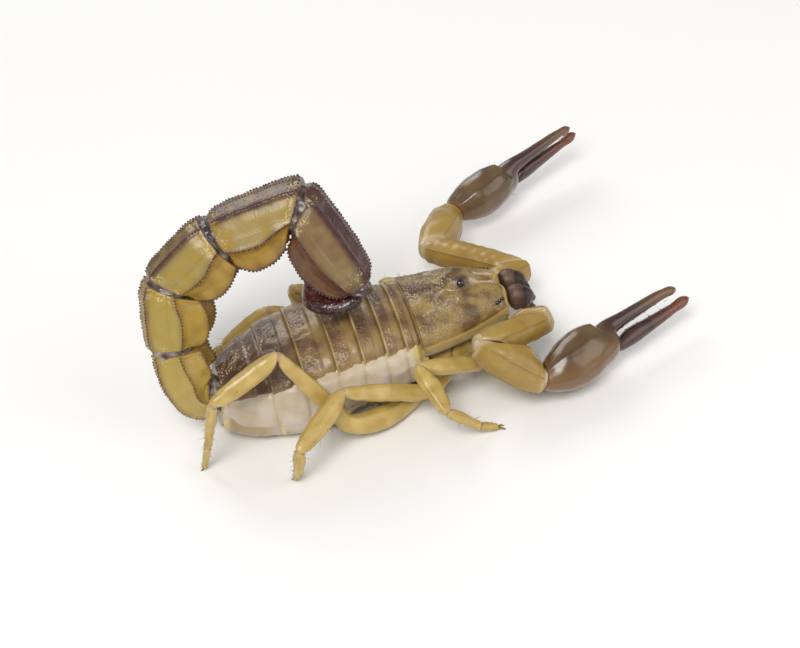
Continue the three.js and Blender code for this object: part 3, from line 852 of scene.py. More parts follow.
def bead_row(parts: Parts, line: Array, out: Array, pitch: float, size: Array | float, seed: int,
             sink: float = 0.25, tall: float = 1.0, **fields: float) -> None:
    """Beads every pitch mm along a line on a surface.

    Args:
        parts: what the beads are added to.
        line: n by 3 points of the line.
        out: n by 3 outward directions on it.
        pitch: distance between beads.
        size: radius, one or one for each point of the line.
        seed: pattern of their small differences.
        sink: how far the middles lie under the surface, in radii.
        tall: height of a bead against its width.
        fields: surface fields of the beads.
    """
    rng = np.random.default_rng(seed)
    distance = np.concatenate([[0], np.cumsum(np.linalg.norm(np.diff(line, axis=0), axis=1))])
    s = np.arange(pitch / 2, distance[-1], pitch)
    s = s + rng.normal(0, 0.06 * pitch, len(s))

    def along(values: Array) -> Array:
        """Columns of values, read at the beads."""
        return np.stack([np.interp(s, distance, column) for column in values.T], -1)

    centre, normal = along(line), along(out)
    run = unit(np.gradient(centre, axis=0))
    normal = unit(normal - run * (normal * run).sum(-1, keepdims=True))
    radius = np.interp(s, distance, np.broadcast_to(size, (len(line),))) * rng.uniform(0.82, 1.18, len(s))
    centre = centre - normal * (sink * radius)[:, None]
    axes = np.stack([np.cross(normal, run), run, normal], 1)
    parts.beads(centre, axes, np.stack([radius, radius * 1.1, radius * tall], -1), **fields)


def sleeve(places: Sequence[Array], size: Sequence[float], dorsal: Array, rows: int, columns: int,
           square: float, least: float, pleats: float = 0.0) -> Array:
    """Soft skin round a joint: sizes times the root of 1 - (2t - 1) to the power 4, and a sine of t.

    Args:
        places: stops of its middle line.
        size: its half-sizes.
        dorsal: its dorsal side.
        rows: rows of points.
        columns: points in a row.
        square: exponent of its section.
        least: the least that the root is taken of.
        pleats: turns of the sine, in radians, that creases it round.

    Returns:
        rows by columns by 3 points.
    """
    t = end_spaced(rows, 0.3)
    scale = np.clip(1 - (2 * t - 1) ** 4, least, 1) ** 0.5 * (1 + 0.03 * np.sin(t * pleats))
    path = Path([(p, *size) for p in places], dorsal, gap=0)
    return tapered(path, t, ring_angles(columns), square, scale)


# ---- Head shield, eyes and mouthparts ----

def line_distance(x: Array, y: Array, line: Line) -> Array:
    """Distance in the plan from points to a broken line.

    Args:
        x: the points' first coordinate.
        y: their second.
        line: its corners.

    Returns:
        The distance to its nearest piece, for each point.
    """
    best = np.full(np.broadcast(x, y).shape, 1e9)
    for (ax, ay), (bx, by) in zip(line[:-1], line[1:]):
        length2 = (bx - ax) ** 2 + (by - ay) ** 2
        t = held(((x - ax) * (bx - ax) + (y - ay) * (by - ay)) / length2)
        best = np.minimum(best, np.hypot(x - ax - t * (bx - ax), y - ay - t * (by - ay)))
    return best


def along_line(line: Line, pitch: float) -> Array:
    """Points along a broken line in the plan.

    Args:
        line: its corners.
        pitch: distance between points, in mm.

    Returns:
        n by 2 places.
    """
    stops = np.array(line, float)
    places = np.concatenate([[0], np.cumsum(np.linalg.norm(np.diff(stops, axis=0), axis=1))])
    s = np.arange(pitch / 2, places[-1], pitch)
    return np.stack([np.interp(s, places, stops[:, k]) for k in range(2)], -1)


@dataclass
class HeadShield(Assembly):
    """The shield over head and fore-body, its keels and grains, and the eyes on it.

    profile rows are distance forward, half-width, and height of the top and of the widest line.
    """

    profile: Rows = (
        (0, 5.9, 9.5, 6.4), (2.4, 5.55, 9.5, 6.4), (4.8, 5.05, 9.65, 6.4), (6.6, 4.5, 9.5, 6.4),
        (8.4, 3.8, 8.9, 6.4), (9.6, 3.25, 8.4, 6.4), (10.1, 2.9, 8, 6.4))
    length: float = 10.1
    rim_depth: float = 1.5
    vault: float = 2.3
    mound: tuple[float, float] = (5.7, 0.8)
    eye_side: float = 0.95
    eye_height: float = 9.7
    eye_radius: float = 0.55
    furrows: tuple[tuple[Line, float], ...] = (
        ([(4.4, 1.9), (3.2, 2.6), (2, 2.8), (0.9, 3.2)], 0.15), ([(7.6, 2.2), (6.4, 2.1), (5, 1.9)], 0.1),
        ([(6.6, 3.2), (5, 3.4), (3.8, 4.1)], 0.14))
    keels: tuple[Line, ...] = (
        [(9.7, 0.8), (8.8, 0.72), (7.7, 0.78), (6.8, 1.05)],
        [(4.7, 1), (3.9, 1.25), (3.2, 1.75), (2.7, 2.35)], [(2.9, 0.75), (1.8, 1.15), (1, 1.9), (0.35, 2.2)],
        [(5.4, 2.5), (4.2, 2.75), (3.3, 3.3), (2.4, 3.5)])

    def surface(self, x: Array, angle: Array) -> tuple[Array, Array]:
        """The plain shield: a section rounded to the power of the vault above, and elliptic below.

        Args:
            x: distance forward.
            angle: where round the section.

        Returns:
            y and z.
        """
        half, top, rim = read_rows(self.profile, x)
        c, s = np.cos(angle), np.sin(angle)
        power = np.where(s > 0, 2 / self.vault, 0.5)
        rise = np.where(s > 0, top - rim, self.rim_depth) * np.sign(s) * np.abs(s) ** power
        return half * np.sign(c) * np.abs(c) ** power, rim + rise

    def height(self, x: Array, y: Array) -> Array:
        """How high the plain shield stands: the section solved for z.

        Args:
            x: distance forward.
            y: distance from the midline.

        Returns:
            z.
        """
        half, top, rim = read_rows(self.profile, x)
        inside = held(1 - np.abs(y / half) ** self.vault)
        return rim + (top - rim) * inside ** (1 / self.vault)

    def notch(self, x: Array, y: Array) -> Array:
        """How far the front of the shield is drawn forward at (x, y): back in the middle, out beside it."""
        reach = 0.2 * smooth(2.5, 1.3, np.abs(y)) - 0.75 * hill(y, 0, 0.8)
        return reach * smooth(8.6, self.length, x)

    def relief(self, x: Array, y: Array) -> Array:
        """Furrows, eye mound and keels, as bells of the distance from their lines.

        Args:
            x: distance forward.
            y: distance from the midline.

        Returns:
            Height above the plain shield.
        """
        a = np.abs(y)
        swell = 1.25 - ((x - self.mound[0]) / 2) ** 2 - (a / 1.55) ** 2
        mound = self.mound[1] * smooth(0, 1, swell)
        furrow = -0.16 * hill(a, 0, 0.3) * smooth(0.2, 1.2, x) * (1 - smooth(3.8, 4.6, x))
        furrow += -0.16 * hill(a, 0, 0.3) * smooth(4.4, 5, x)
        for line, deep in self.furrows:
            furrow += -deep * hill(line_distance(x, a, line), 0, 0.42)
        rise = sum(0.08 * hill(line_distance(x, a, line), 0, 0.24) for line in self.keels)
        return mound + furrow + rise + 0.12 * hill(np.hypot((x - 8.2) / 1.3, (a - 1.7) / 0.7), 0, 1)

    def shield(self) -> None:
        """The shield: section times (rows, angle), moved out along its normals by relief and grains."""
        rows = np.concatenate([np.linspace(0.07, 9.95, 200), [10.02, 10.07, 10.1]])
        angle = np.concatenate(
            [np.linspace(0, np.pi, 250, endpoint=False), np.linspace(np.pi, TAU, 44, endpoint=False)])
        x, a = np.meshgrid(rows, angle, indexing="ij")
        y, z = self.surface(x, a)
        half, _, rim_height = read_rows(self.profile, x)
        lip = 1 - 0.16 * smooth(9.9, 10.12, x) ** 2
        y, z = y * lip, rim_height + (z - rim_height) * lip
        base = np.stack([x + self.notch(x, y), y, z], -1)
        normal = grid_normals(base)
        side = np.abs(y)
        above = np.sin(a) > 0
        margin = np.where(above, np.minimum(np.hypot(half - side, z - rim_height), self.length - x), 0)
        top = smooth(0.02, 0.2, np.sin(a)) * smooth(0.3, 0.7, margin)
        arc = (y + np.sign(y) * np.maximum(0, side - 3.5) * 0.8) + 30
        coarse, fine = granules(x, arc, 0.36, 3), granules(x + 3, arc, 0.2, 8)
        ridge = sum(hill(line_distance(x, side, line), 0, 0.3) for line in self.keels)
        crown = hill(side, 0, 1.5) * (1 - smooth(4.2, 5.4, x))
        zones = 0.4 + 0.8 * crown + 0.7 * ridge + 0.5 * hill(np.hypot((x - 3) / 1.2, side - 3.3), 0, 1.1)
        patchy = np.clip(0.55 + 0.6 * waves(base, 1.7, 21), 0.05, 1.2) * zones
        eyes = hill(np.hypot(x - self.mound[0], side - self.eye_side), 0, 0.8)
        grains = (0.11 * coarse * (coarse > 0.3) * patchy + 0.05 * fine * patchy) * (1 - eyes)
        lifted = top * (self.relief(x, y) + grains) + 0.05 * smooth(0.42, 0.22, margin)
        lifted = lifted - 0.02 * hill(margin, 0.5, 0.12) * above
        points = base + normal * lifted[..., None]
        pits = 1 - smooth(0.1, 0.2, np.abs(granules(x, arc + 7, 0.42, 12) - 0.75))
        pits = pits * hill(np.hypot((x - 8.1) / 1.2, (side - 2.3) / 0.7), 0, 1)
        # painted shade: the far half of the shield, y over 1.2, is darkened through the keel and tone fields
        far = 0.35 * (y > 1.2)
        flank = smooth(0.05, 0.35, rim_height - z) * smooth(9.9, 9.2, x)
        glass = hill(np.hypot((x - 8.6) / 1.2, (side - 1.5) / 0.6), 0, 1)
        tone = (0.35 * waves(base, 2.6, 5) + 0.25 * waves(base, 0.9, 6) - 0.2 * hill(x, 2.6, 2.2)
                + 0.7 * eyes + 0.5 * crown)
        dark = 0.3 * smooth(0.4, 0.8, coarse) * patchy + 0.55 * pits + 0.85 * eyes**2 + 0.3 * far
        # pale is partly real, the pale keel before the eyes, and partly painted glints on the tops of the
        # coarse granules
        light = 0.75 * hill(line_distance(x, side, self.keels[0]), 0, 0.2)
        light = light + 0.65 * smooth(0.7, 0.95, coarse) * patchy
        edge = smooth(0.4, 0.22, margin) * (0.85 - 0.35 * (x < 0.4)) * (1 - flank)
        parts = Parts().tube(
            points, keel=held(top * (dark + 0.6 * hill(side, 0, 0.45) * crown)),
            rim=held(edge + 0.5 * glass * top), tone=tone + 0.3 * far, pale=held(top * light + 0.45 * flank),
            dust=held(top * (0.9 * crown + 0.5 * zones * hill(x, 2.5, 2.6))))
        self.bead_rows(parts)
        self.shop.piece("head_shield", parts, Finish.SHIELD, "shield", "carapace")

    def bead_rows(self, parts: Parts) -> None:
        """Fine beads along the keels and rear margin, half sunk in, those before the eyes pale.

        Args:
            parts: what they are added to.
        """
        for number, (line, pitch, size) in enumerate(
                [(line, 0.24, 0.075) for line in self.keels] + [([(0.2, 0.3), (0.2, 5.2)], 0.3, 0.06)]):
            xy = along_line(line, 0.1)
            for sign in (-1, 1):
                x, y, e = xy[:, 0], sign * xy[:, 1], 0.05
                z = self.height(x, y) + self.relief(x, y)
                slope_x = (self.height(x + e, y) - self.height(x - e, y)) / (2 * e)
                slope_y = (self.height(x, y + e) - self.height(x, y - e)) / (2 * e)
                normal = unit(np.stack([-slope_x, -slope_y, np.ones_like(x)], -1))
                place = np.stack([x + self.notch(x, y), y, z], -1)
                bead_row(parts, place, normal, pitch, size, 40 + 2 * number + (sign > 0), 0.2,
                         pale=0.8 if number == 0 else 0.3, keel=0 if number == 0 else 0.25)

    def eyes(self) -> None:
        """The two middle eyes, glossy balls in dark sockets, and three small ones at each front corner."""
        p, q = np.meshgrid(np.linspace(0.04, np.pi - 0.04, 26), ring_angles(40), indexing="ij")
        ball = np.stack([np.sin(p) * np.cos(q), np.sin(p) * np.sin(q), -np.cos(p)], -1)
        for sign, label in SIDES:
            centre = vec(self.mound[0], sign * (self.eye_side + 0.04), self.eye_height + 0.1)
            parts = Parts().tube(centre + ball * self.eye_radius, rim=smooth(0.1, -0.35, -np.cos(p)))
            self.shop.piece(f"middle_eye_{label}", parts, Finish.LENS, "eye", f"eye_{label}")
        parts = Parts()
        for sign in (1, -1):
            x, y = np.array([9.5, 9.16, 8.82]), sign * np.array([2.75, 2.98, 3.2])
            centres = np.stack([x, y, self.height(x, y) + 0.04], -1)
            parts.beads(centres, np.broadcast_to(np.eye(3), (3, 3, 3)), np.array([0.26, 0.22, 0.2]))
        self.shop.piece("side_eyes", parts, Finish.LENS, "eye")

    def build(self) -> None:
        """Makes the shield and the eyes."""
        self.shield()
        self.eyes()


@dataclass
class Mouthparts(Assembly):
    """The two pincer-like chelicerae under the front of the shield.

    Rows are x, distance from the midline, z, half-width and half-depth.
    """

    hand: Rows = (
        (10.35, 1.33, 6.5, 0.7, 0.75), (10.45, 1.35, 6.5, 0.85, 0.9), (10.9, 1.4, 6.5, 1.15, 1.3),
        (11.7, 1.45, 6.3, 1.15, 1.3), (12.3, 1.35, 6.1, 0.85, 1.05), (12.9, 1.1, 5.6, 0.42, 0.5),
        (13.3, 0.85, 5.1, 0.26, 0.28))
    finger: Rows = ((11.8, 1.9, 5.6, 0.4, 0.5), (12.5, 1.9, 5.0, 0.4, 0.45), (13.0, 1.5, 4.6, 0.28, 0.3))

    def limb(self, rows: Rows, sign: int, parts: Parts) -> None:
        """One part of a chelicera, grainy above, dark and smooth towards its tip.

        Args:
            rows: its rows of sizes.
            sign: 1 on the left, -1 on the right.
            parts: what it is added to.
        """
        path = Path([(vec(r[0], sign * r[1], r[2]), r[3], r[4]) for r in rows], UP, gap=0)
        t, angle = end_spaced(46), ring_angles(44)
        points = tapered(path, t, angle, 2.2, domed(t, 0.08, 0.08))
        tip = smooth(0.62, 0.9, t)[:, None]
        grain = granules(points[..., 0] * 1.3, points[..., 1] + 9, 0.33, 4) * smooth(0.1, 0.9, np.sin(angle))
        seam = hill(t, 0.42, 0.05)[:, None]
        parts.tube(
            points + grid_normals(points) * (0.06 * grain * (1 - tip) - 0.05 * seam)[..., None],
            keel=held(0.9 * tip + 0.35 * grain + 0.9 * seam), pale=0.35 * hill(t, 0.2, 0.12)[:, None],
            tone=0.4 * waves(points, 0.8, 9))

    def build(self) -> None:
        """Makes both chelicerae, each with teeth along its fingers."""
        for sign, label in SIDES:
            parts = Parts()
            self.limb(self.hand, sign, parts)
            self.limb(self.finger, sign, parts)
            teeth = np.array(
                [[12.75, sign * 1.2, 5.35], [12.95, sign * 1.25, 4.95], [12.6, sign * 1.6, 5.25]])
            parts.beads(teeth, np.broadcast_to(np.eye(3), (3, 3, 3)), np.array([0.1, 0.1, 0.16]), keel=1.0)
            self.shop.piece(f"chelicera_{label}", parts, Finish.CHELICERA, "chelicera", f"chelicera_{label}")


# ---- Trunk ----

@dataclass
class Trunk(Assembly):
    """The seven-ringed trunk: soft sides, back plates, belly plates, leg roots and combs.

    profile rows are distance back, half-width, and height of the top and of the belly.
    """

    profile: Rows = (
        (0, 6.1, 9.5, 1.9), (4, 6.6, 9.8, 1.6), (8, 6.9, 9.9, 1.2), (11, 7, 9.7, 0), (14.5, 6.8, 9.1, 0),
        (18, 5.6, 7.7, 0.3), (21.3, 3.6, 6, 1.5))
    vault: float = 2.35
    shoulder: float = 4.6
    margins: tuple[float, ...] = (0.1, 1.8, 3.9, 6.4, 9.2, 12.6, 16.1, 21.2)
    coxae: Rows = ((-0.1, 4.6), (3.0, 4.5), (6.5, 3.9), (9.4, 3.2), (10.2, 2.6))
    coxa_height: float = 3.05
    coxa_depth: float = 1.55
    comb_splay: float = 48.0
    comb_teeth: int = 18

    def ring(self, back: Array, angle: Array) -> Array:
        """Points of the trunk at distance back and angle round it: rounded above, squarer below.

        Args:
            back: distances behind the shield, of any shape.
            angle: angles of the same shape.

        Returns:
            Points of that shape by 3; the last ring leans with the tail's root.
        """
        half, top, belly = read_rows(self.profile, back)
        middle = np.minimum(self.shoulder, (top + belly) / 2 + 0.6)
        c, s = np.cos(angle), np.sin(angle)
        power = np.where(s > 0, 2 / self.vault, 2 / 5)
        y = half * np.sign(c) * np.abs(c) ** power
        rise = np.where(s > 0, top - middle, middle - belly) * np.sign(s) * np.abs(s) ** power
        lean = 0.25 * rise * smooth(15, 21, back)
        return np.stack([-back + lean, y, np.maximum(middle + rise, 0.02)], -1)

    def skin(self) -> None:
        """The soft skin under the plates, folded along the sides where it bulges between them, with painted
        shade in the folds.
        """
        b, a = np.meshgrid(np.linspace(-0.4, 21.15, 194), ring_angles(200), indexing="ij")
        side = hill(np.sin(a), 0.12, 0.45) * smooth(-0.1, 0.7, b)
        place = self.ring(b, a)
        fold = np.zeros_like(b)
        for start, end in zip(self.margins[:-1], self.margins[1:]):
            fold += hill(b, (start + end) / 2 - 0.2, 0.36 * (end - start)) * 0.16 - hill(b, end, 0.2) * 0.14
        crease = np.sin(place[..., 2] * 5.2 + 1.5 * waves(place, 3, 4)) * 0.03
        lift = -0.5 + side * (0.5 + fold + crease) + 0.02 * waves(place, 1.2, 6) * side
        points = place + grid_normals(place) * lift[..., None]
        above_floor(points, 0.03)
        # painted shade: the skin is darkened in the folds between its bulges, through the keel field
        deep = smooth(0, -0.14, fold)
        bulge = hill(place[..., 2], 4.4, 1.3) * (0.45 + 0.45 * waves(place, 2.4, 8)) * smooth(0, 0.14, fold)
        parts = Parts().tube(
            points, tone=0.35 * waves(place, 1.6, 7), keel=held(0.5 * deep * side), pale=held(bulge),
            rim=0.8 * smooth(1.6, 0.6, b))
        self.shop.piece("trunk_skin", parts, Finish.SIDE, "trunk")

    def back_plate(self, number: int) -> None:
        """One back plate: a shell over 20 to 160 degrees of the ring, stepping up behind a smooth band.

        Args:
            number: 1 at the shield to 7 at the tail.
        """
        start, end = self.margins[number - 1], self.margins[number]
        length = end - start
        lead = 0 if number == 1 else 0.28
        angle = np.radians(np.linspace(160, 20, 190))
        tt, a = np.meshgrid(np.linspace(0, 1, 30 + int(11 * length)), angle, indexing="ij")
        edge = smooth(20, 32, np.degrees(np.minimum(a, np.pi - a)))
        back = start - lead + (length + lead) * tt - 0.12
        back = np.clip(back - 0.08 * (1 - edge) * (tt - 0.5) * length, 0.1, 21.15)
        base = self.ring(back, a)
        y = base[..., 1]
        normal = grid_normals(base, wrap=False)
        s = back - start
        band = smooth(0.26 * length + 0.1, 0.26 * length + 0.45, s)
        margin = smooth(end - 0.42, end - 0.28, back)
        lift = -0.3 + 0.2 * smooth(-lead, 0.25, s) + 0.12 * band + 0.08 * margin
        lift = lift - 0.16 * smooth(end - 0.22, end - 0.1, back) - 0.3 * (1 - edge)
        keels = (0, 2.3) if number < 7 else (1.3, 3.3)
        ridge = sum(hill(np.abs(y), k, 0.22) for k in keels) * band * smooth(0.3, 0.6, tt)
        patchy = np.clip(0.5 + 0.55 * waves(base, 1.5, 50 + number), 0.05, 1.1)
        grain = granules(back * 0.8, y * 1.3 + 40, 0.27, 10 + number) * band * patchy
        row = hill(back, end - 0.5, 0.1) * granules(back * 0.2, y * 1.15, 0.24, 30 + number)
        lift = lift + 0.1 * ridge * (0.6 + 0.4 * grain) + 0.055 * grain * (grain > 0.2) + 0.06 * row
        top = base + normal * (lift + 0.03 * waves(base, 1.4, 60 + number))[..., None]
        bottom = base + normal * np.minimum(lift - 0.2, -0.4)[..., None]
        above_floor(bottom, 0.1)
        late = smooth(11, 15.5, back)
        corner = (1 - edge) * (1 - 0.7 * late)
        flank = smooth(2.4, 5.2, np.abs(y))
        dark = (0.35 * smooth(0.45, 0.85, grain) + 0.25 * ridge + 0.4 * row
                + 0.3 * late * hill(np.abs(y), 2, 1.3))
        tone = 0.15 * band - 0.05 + 0.35 * waves(base, 2.2, 70 + number) + 0.7 * late * (1 - 0.6 * flank)
        parts = Parts().shell(
            top, bottom, keel=held(dark * (1 - 0.8 * margin)),
            rim=held(margin * (0.9 - 0.55 * late) * (0.65 + 0.4 * waves(base, 2.8, 80 + number)) + corner),
            tone=tone - 0.2 * flank * (1 - late),
            pale=held(0.25 * (1 - band) * (1 - late) + 0.3 * flank * (1 - late) * patchy),
            dust=(0.5 + 0.5 * late) * hill(y, 0, 1.3) + 0.25 * band)
        self.shop.piece(f"back_plate_{number}", parts, Finish.BACK, "trunk", f"mesosoma_{number}")

    def belly_plate(self, number: int) -> None:
        """One belly plate with its pair of breathing slits; the seventh carries none.

        Args:
            number: 3 behind the combs to 7 at the tail.
        """
        start, end = self.margins[number - 1], self.margins[number]
        reach = 14 if number < 6 else -4
        angle = np.radians(np.linspace(360 - reach, 180 + reach, 120))
        tt, a = np.meshgrid(np.linspace(0, 1, 30), angle, indexing="ij")
        back = np.minimum(start - 0.2 + (end - start + 0.1) * tt, 21.1)
        base = self.ring(back, a)
        edge = smooth(0, 0.12, np.minimum(a - a.min(), a.max() - a))
        lift = -0.14 + 0.1 * smooth(0.1, 0.3, tt) - 0.1 * smooth(0.93, 1, tt) - 0.25 * (1 - edge)
        slit = hill(
            np.hypot((np.abs(base[..., 1]) - 0.72 * read_rows(self.profile, back)[0]) / 0.28, (tt
                - 0.55) / 0.12), 0, 1)
        slit = slit * (base[..., 2] < 2.5) * (number < 7)
        lift = lift - 0.12 * slit + 0.02 * waves(base, 1.2, 90 + number)
        normal = grid_normals(base, wrap=False)
        top = base + normal * lift[..., None]
        bottom = base + normal * (np.minimum(lift, -0.12) - 0.25)[..., None]
        above_floor(top, 0.01)
        above_floor(bottom, 0.12)
        # painted sheen: the upturned side of belly plate six turns grey-white, as a glossy reflection
        high = smooth(1, 3.2, base[..., 2])
        parts = Parts().shell(
            top, bottom, rim=held(smooth(0.84, 0.92, tt) + 0.8 * (1 - edge)), keel=held(slit),
            tone=0.4 * waves(base, 2, 95 + number) + 0.5 * (number == 7) - 0.3 * (number == 6),
            pale=held(0.4 * (1 - smooth(0.1, 0.3, tt)) + 0.9 * high * (number == 6)))
        self.shop.piece(f"belly_plate_{number}", parts, Finish.BELLY, "trunk")

    def leg_roots(self) -> None:
        """The close-packed coxae under the shield, cut apart by grooves, with the breast plate between."""
        x, a = np.meshgrid(np.linspace(-0.05, 10.05, 120), ring_angles(90), indexing="ij")
        half = curve_through(list(self.coxae), x)
        across, rise = round_section(a, half, self.coxa_depth, self.coxa_depth, 3.2)
        base = np.stack([x, across, self.coxa_height + rise], -1)
        skew = x + 0.35 * np.abs(across)
        groove = sum(hill(skew, g, 0.12) for g in (2.2, 4.6, 7.1, 9.6))
        middle = hill(np.abs(across), 0.7 * smooth(6.5, 2, x) + 0.1, 0.12)
        lift = -0.06 - 0.22 * held(groove + middle) + 0.02 * waves(base, 1, 12)
        parts = Parts().tube(
            base + grid_normals(base) * lift[..., None], keel=held(0.8 * (groove + middle)),
            tone=0.4 * waves(base, 1.6, 13))
        self.shop.piece("leg_roots", parts, Finish.LEG, "leg", "leg_bases")

    def comb(self, sign: int, label: str) -> None:
        """One comb: a flat beam running back and outward under the belly, with rounded teeth behind it.

        Args:
            sign: 1 on the left, -1 on the right.
            label: the side's name.
        """
        splay = np.radians(self.comb_splay)
        run = vec(-np.cos(splay), sign * np.sin(splay), 0)
        back = vec(-np.sin(splay), -sign * np.cos(splay), 0)
        root = vec(-2.6, sign * 0.9, 0.7)
        stops = [(0.05, 0.36, 0.22), (0.5, 0.44, 0.27), (4.3, 0.36, 0.25), (5.3, 0.2, 0.2)]
        path = Path([(root + run * d - back * 0.45 * (1 - 0.04 * d), w, h) for d, w, h in stops], UP, gap=0)
        parts = Parts().tube(
            tapered(path, end_spaced(30), ring_angles(20), 3, domed(end_spaced(30), 0.05, 0.05)))
        count = self.comb_teeth
        along = (np.arange(count) + 0.5) * 5.2 / count
        centre = root + along[:, None] * run + back * 0.42 - UP * 0.03
        axes = np.broadcast_to(np.stack([run, back, UP]), (count, 3, 3))
        parts.beads(centre, axes, np.array([0.14, 0.58, 0.2]), rim=0.4)
        self.shop.piece(f"comb_{label}", parts, Finish.COMB, "comb", f"comb_{label}")

    def build(self) -> None:
        """Makes every part of the trunk."""
        self.skin()
        for number in range(1, 8):
            self.back_plate(number)
        for number in range(3, 8):
            self.belly_plate(number)
        self.leg_roots()
        for sign, label in SIDES:
            self.comb(sign, label)


# ---- Tail ----

@dataclass
class Tail(Assembly):
    """The thick tail: five keeled segments with skin between them, and the sting folded beneath.

    sizes are half-width and half-depth of each segment. drops say how far its upper keels sink towards
    its end; darkness, rims and bead_tone, how dark its keels, outer side and beads are. shares are
    fraction of the line, factor on the sizes and share of the scallop, which is how far a segment's
    crest swells out in its middle. bulb and spine rows are beyond the tail's end, out on its dorsal
    side, aside, and two half-sizes.
    """

    turn: float = 15.0
    lean: float = 20.0
    root: Rows = (
        (-22, 0.05, 4, 2.4, 1.8), (-22.9, 0.35, 4.6, 2.8, 2.3), (-23.6, 1, 6, 3.05, 2.7),
        (-23.8, 1.5, 7.1, 3.05, 2.7), (-23.9, 2.4, 9.4, 2.6, 2.4))
    joints: Rows = (
        (-22, 0.1, 4.2), (-23.9, 2.4, 9.4), (-22.7, 4.3, 15.7), (-16.8, 4.3, 19.7), (-8.5, 2.8, 21.6),
        (-4.7, -1.3, 13.1))
    sizes: Rows = ((3.1, 2.8), (3.05, 3.05), (3.15, 3.1), (3.25, 3.0), (3.05, 2.9))
    scallops: tuple[float, ...] = (0.0, 0.4, 0.6, 0.7, 0.3)
    drops: tuple[float, ...] = (0.3, 0.4, 0.5, 0.9, 0.3)
    darkness: tuple[float, ...] = (0.15, 0.25, 0.5, 0.75, 0.75)
    rims: tuple[float, ...] = (0.35, 0.5, 0.9, 0.95, 1.0)
    bead_tone: tuple[float, ...] = (0.75, 0.85, 0.95, 0.95, 0.9)
    bulb: Rows = (
        (0.75, 0.3, 0, 1, 0.6), (0.75, 1.4, -0.1, 1.5, 0.85), (0.35, 2.6, -0.3, 1.85, 1),
        (-0.7, 3.75, -0.6, 1.95, 1.1), (-2, 4.15, -1.1, 1.55, 1), (-2.9, 4, -1.6, 0.95, 0.65))
    spine: Rows = (
        (-2.7, 4.02, -1.5, 0.8, 0.6), (-3.2, 3.9, -1.8, 0.6, 0.48), (-4.1, 3.6, -2.3, 0.48, 0.4),
        (-5.1, 3.3, -2.7, 0.35, 0.33), (-6, 3.15, -2.9, 0.24, 0.24), (-6.2, 3.12, -2.94, 0.05, 0.05))
    skin_shades: tuple[float, ...] = (0.2, 0.3, 0.6, 0.9, 0.9, 0.7)
    shares: Rows = (
        (0, 0.84, -0.8), (0.12, 0.97, -0.1), (0.35, 1.02, 1), (0.62, 1.03, 0.9), (0.86, 1, 0.3),
        (1, 0.86, 0))
    final: Rows = (
        (0, 0.84, -0.8), (0.1, 0.97, 0), (0.3, 1, 1), (0.55, 0.98, 1), (0.78, 0.88, 0.6), (0.9, 0.76, 0),
        (0.965, 0.58, 0), (1, 0.58, 0))
    outline: Rows = ((0.98, 0.0), (1.0, 0.38), (0.84, 0.7), (0.6, 1.0), (0.3, 0.86), (0, 0.78))
    underside: Rows = ((0.24, -0.97), (0.46, -0.9), (0.74, -0.72), (0.9, -0.38))
    keels: tuple[tuple[str, int, float], ...] = (
        ("upper", 1, 0.22), ("crest", 3, 0.28), ("lower", 2, 0.2), ("under", 0, 0.12))

    def __post_init__(self) -> None:
        """Works out the side direction, the runs of the segments, the outline and where its keels are."""
        turn, lean = np.radians(self.turn), np.radians(self.lean)
        self.side = vec(-np.sin(turn) * np.cos(lean), -np.cos(turn) * np.cos(lean), np.sin(lean))
        self.at = [np.array(p, float) for p in self.joints]
        self.runs = [unit(b - a) for a, b in zip(self.at[:-1], self.at[1:])]
        right, below = np.array(self.outline), np.array(self.underside)
        self.loop = np.concatenate([right, right[-2::-1] * [-1, 1], below[::-1] * [-1, 1], below])
        self.stops = {}
        for name, index, _ in self.keels:
            here = (right if name in ("upper", "crest") else below)[index]
            self.stops[name] = [
                int(np.argmin(np.hypot(*(self.loop - here * [sign, 1]).T))) for sign in (1, -1)]

    def section(self, columns: int) -> tuple[Array, Array, Array]:
        """The keeled outline, a closed line of cubics with slopes from the stops on either side.

        Args:
            columns: how many points to read evenly round it.

        Returns:
            x and y as shares of the half-sizes, and the distance round in stops.
        """
        loop, count = self.loop, len(self.loop)
        u = np.arange(columns) * count / columns
        i = u.astype(int) % count
        t = (u - np.floor(u))[:, None]
        p0, p1, p2, p3 = (loop[(i + k) % count] for k in (-1, 0, 1, 2))
        at = 0.5 * (2 * p1 + (p2 - p0) * t + (2 * p0 - 5 * p1 + 4 * p2 - p3) * t**2
                    + (3 * p1 - p0 - 3 * p2 + p3) * t**3)
        return at[:, 0], at[:, 1], u

    def path(self, number: int) -> Path:
        """The centre line of a segment with its sizes; the first curves up from the trunk.

        Args:
            number: the segment.

        Returns:
            Its path.
        """
        start, end, run = self.at[number - 1], self.at[number], self.runs[number - 1]
        dorsal = np.cross(run, self.side)
        after = self.runs[number] if number < 5 else None
        if number == 1:
            stops = [(np.array(row[:3]), row[3], row[4], 1.04 * row[4]) for row in self.root]
            first, plane = unit(stops[1][0] - stops[0][0]), unit(vec(-1, 0, 0.2))
            turned = np.array([UP, unit(UP + dorsal), dorsal, dorsal, dorsal])
            return Path(stops, turned, 2 * (plane @ first) * plane - first, after, 0.12, 2)
        half, deep = self.sizes[number - 1]
        scallop = self.scallops[number - 1]
        stops = [(start + (end - start) * t, half * k, deep * k, 1.04 * deep * k + extra * scallop)
                 for t, k, extra in (self.shares if number < 5 else self.final)]
        return Path(stops, dorsal, self.runs[number - 2], after, 0.12)

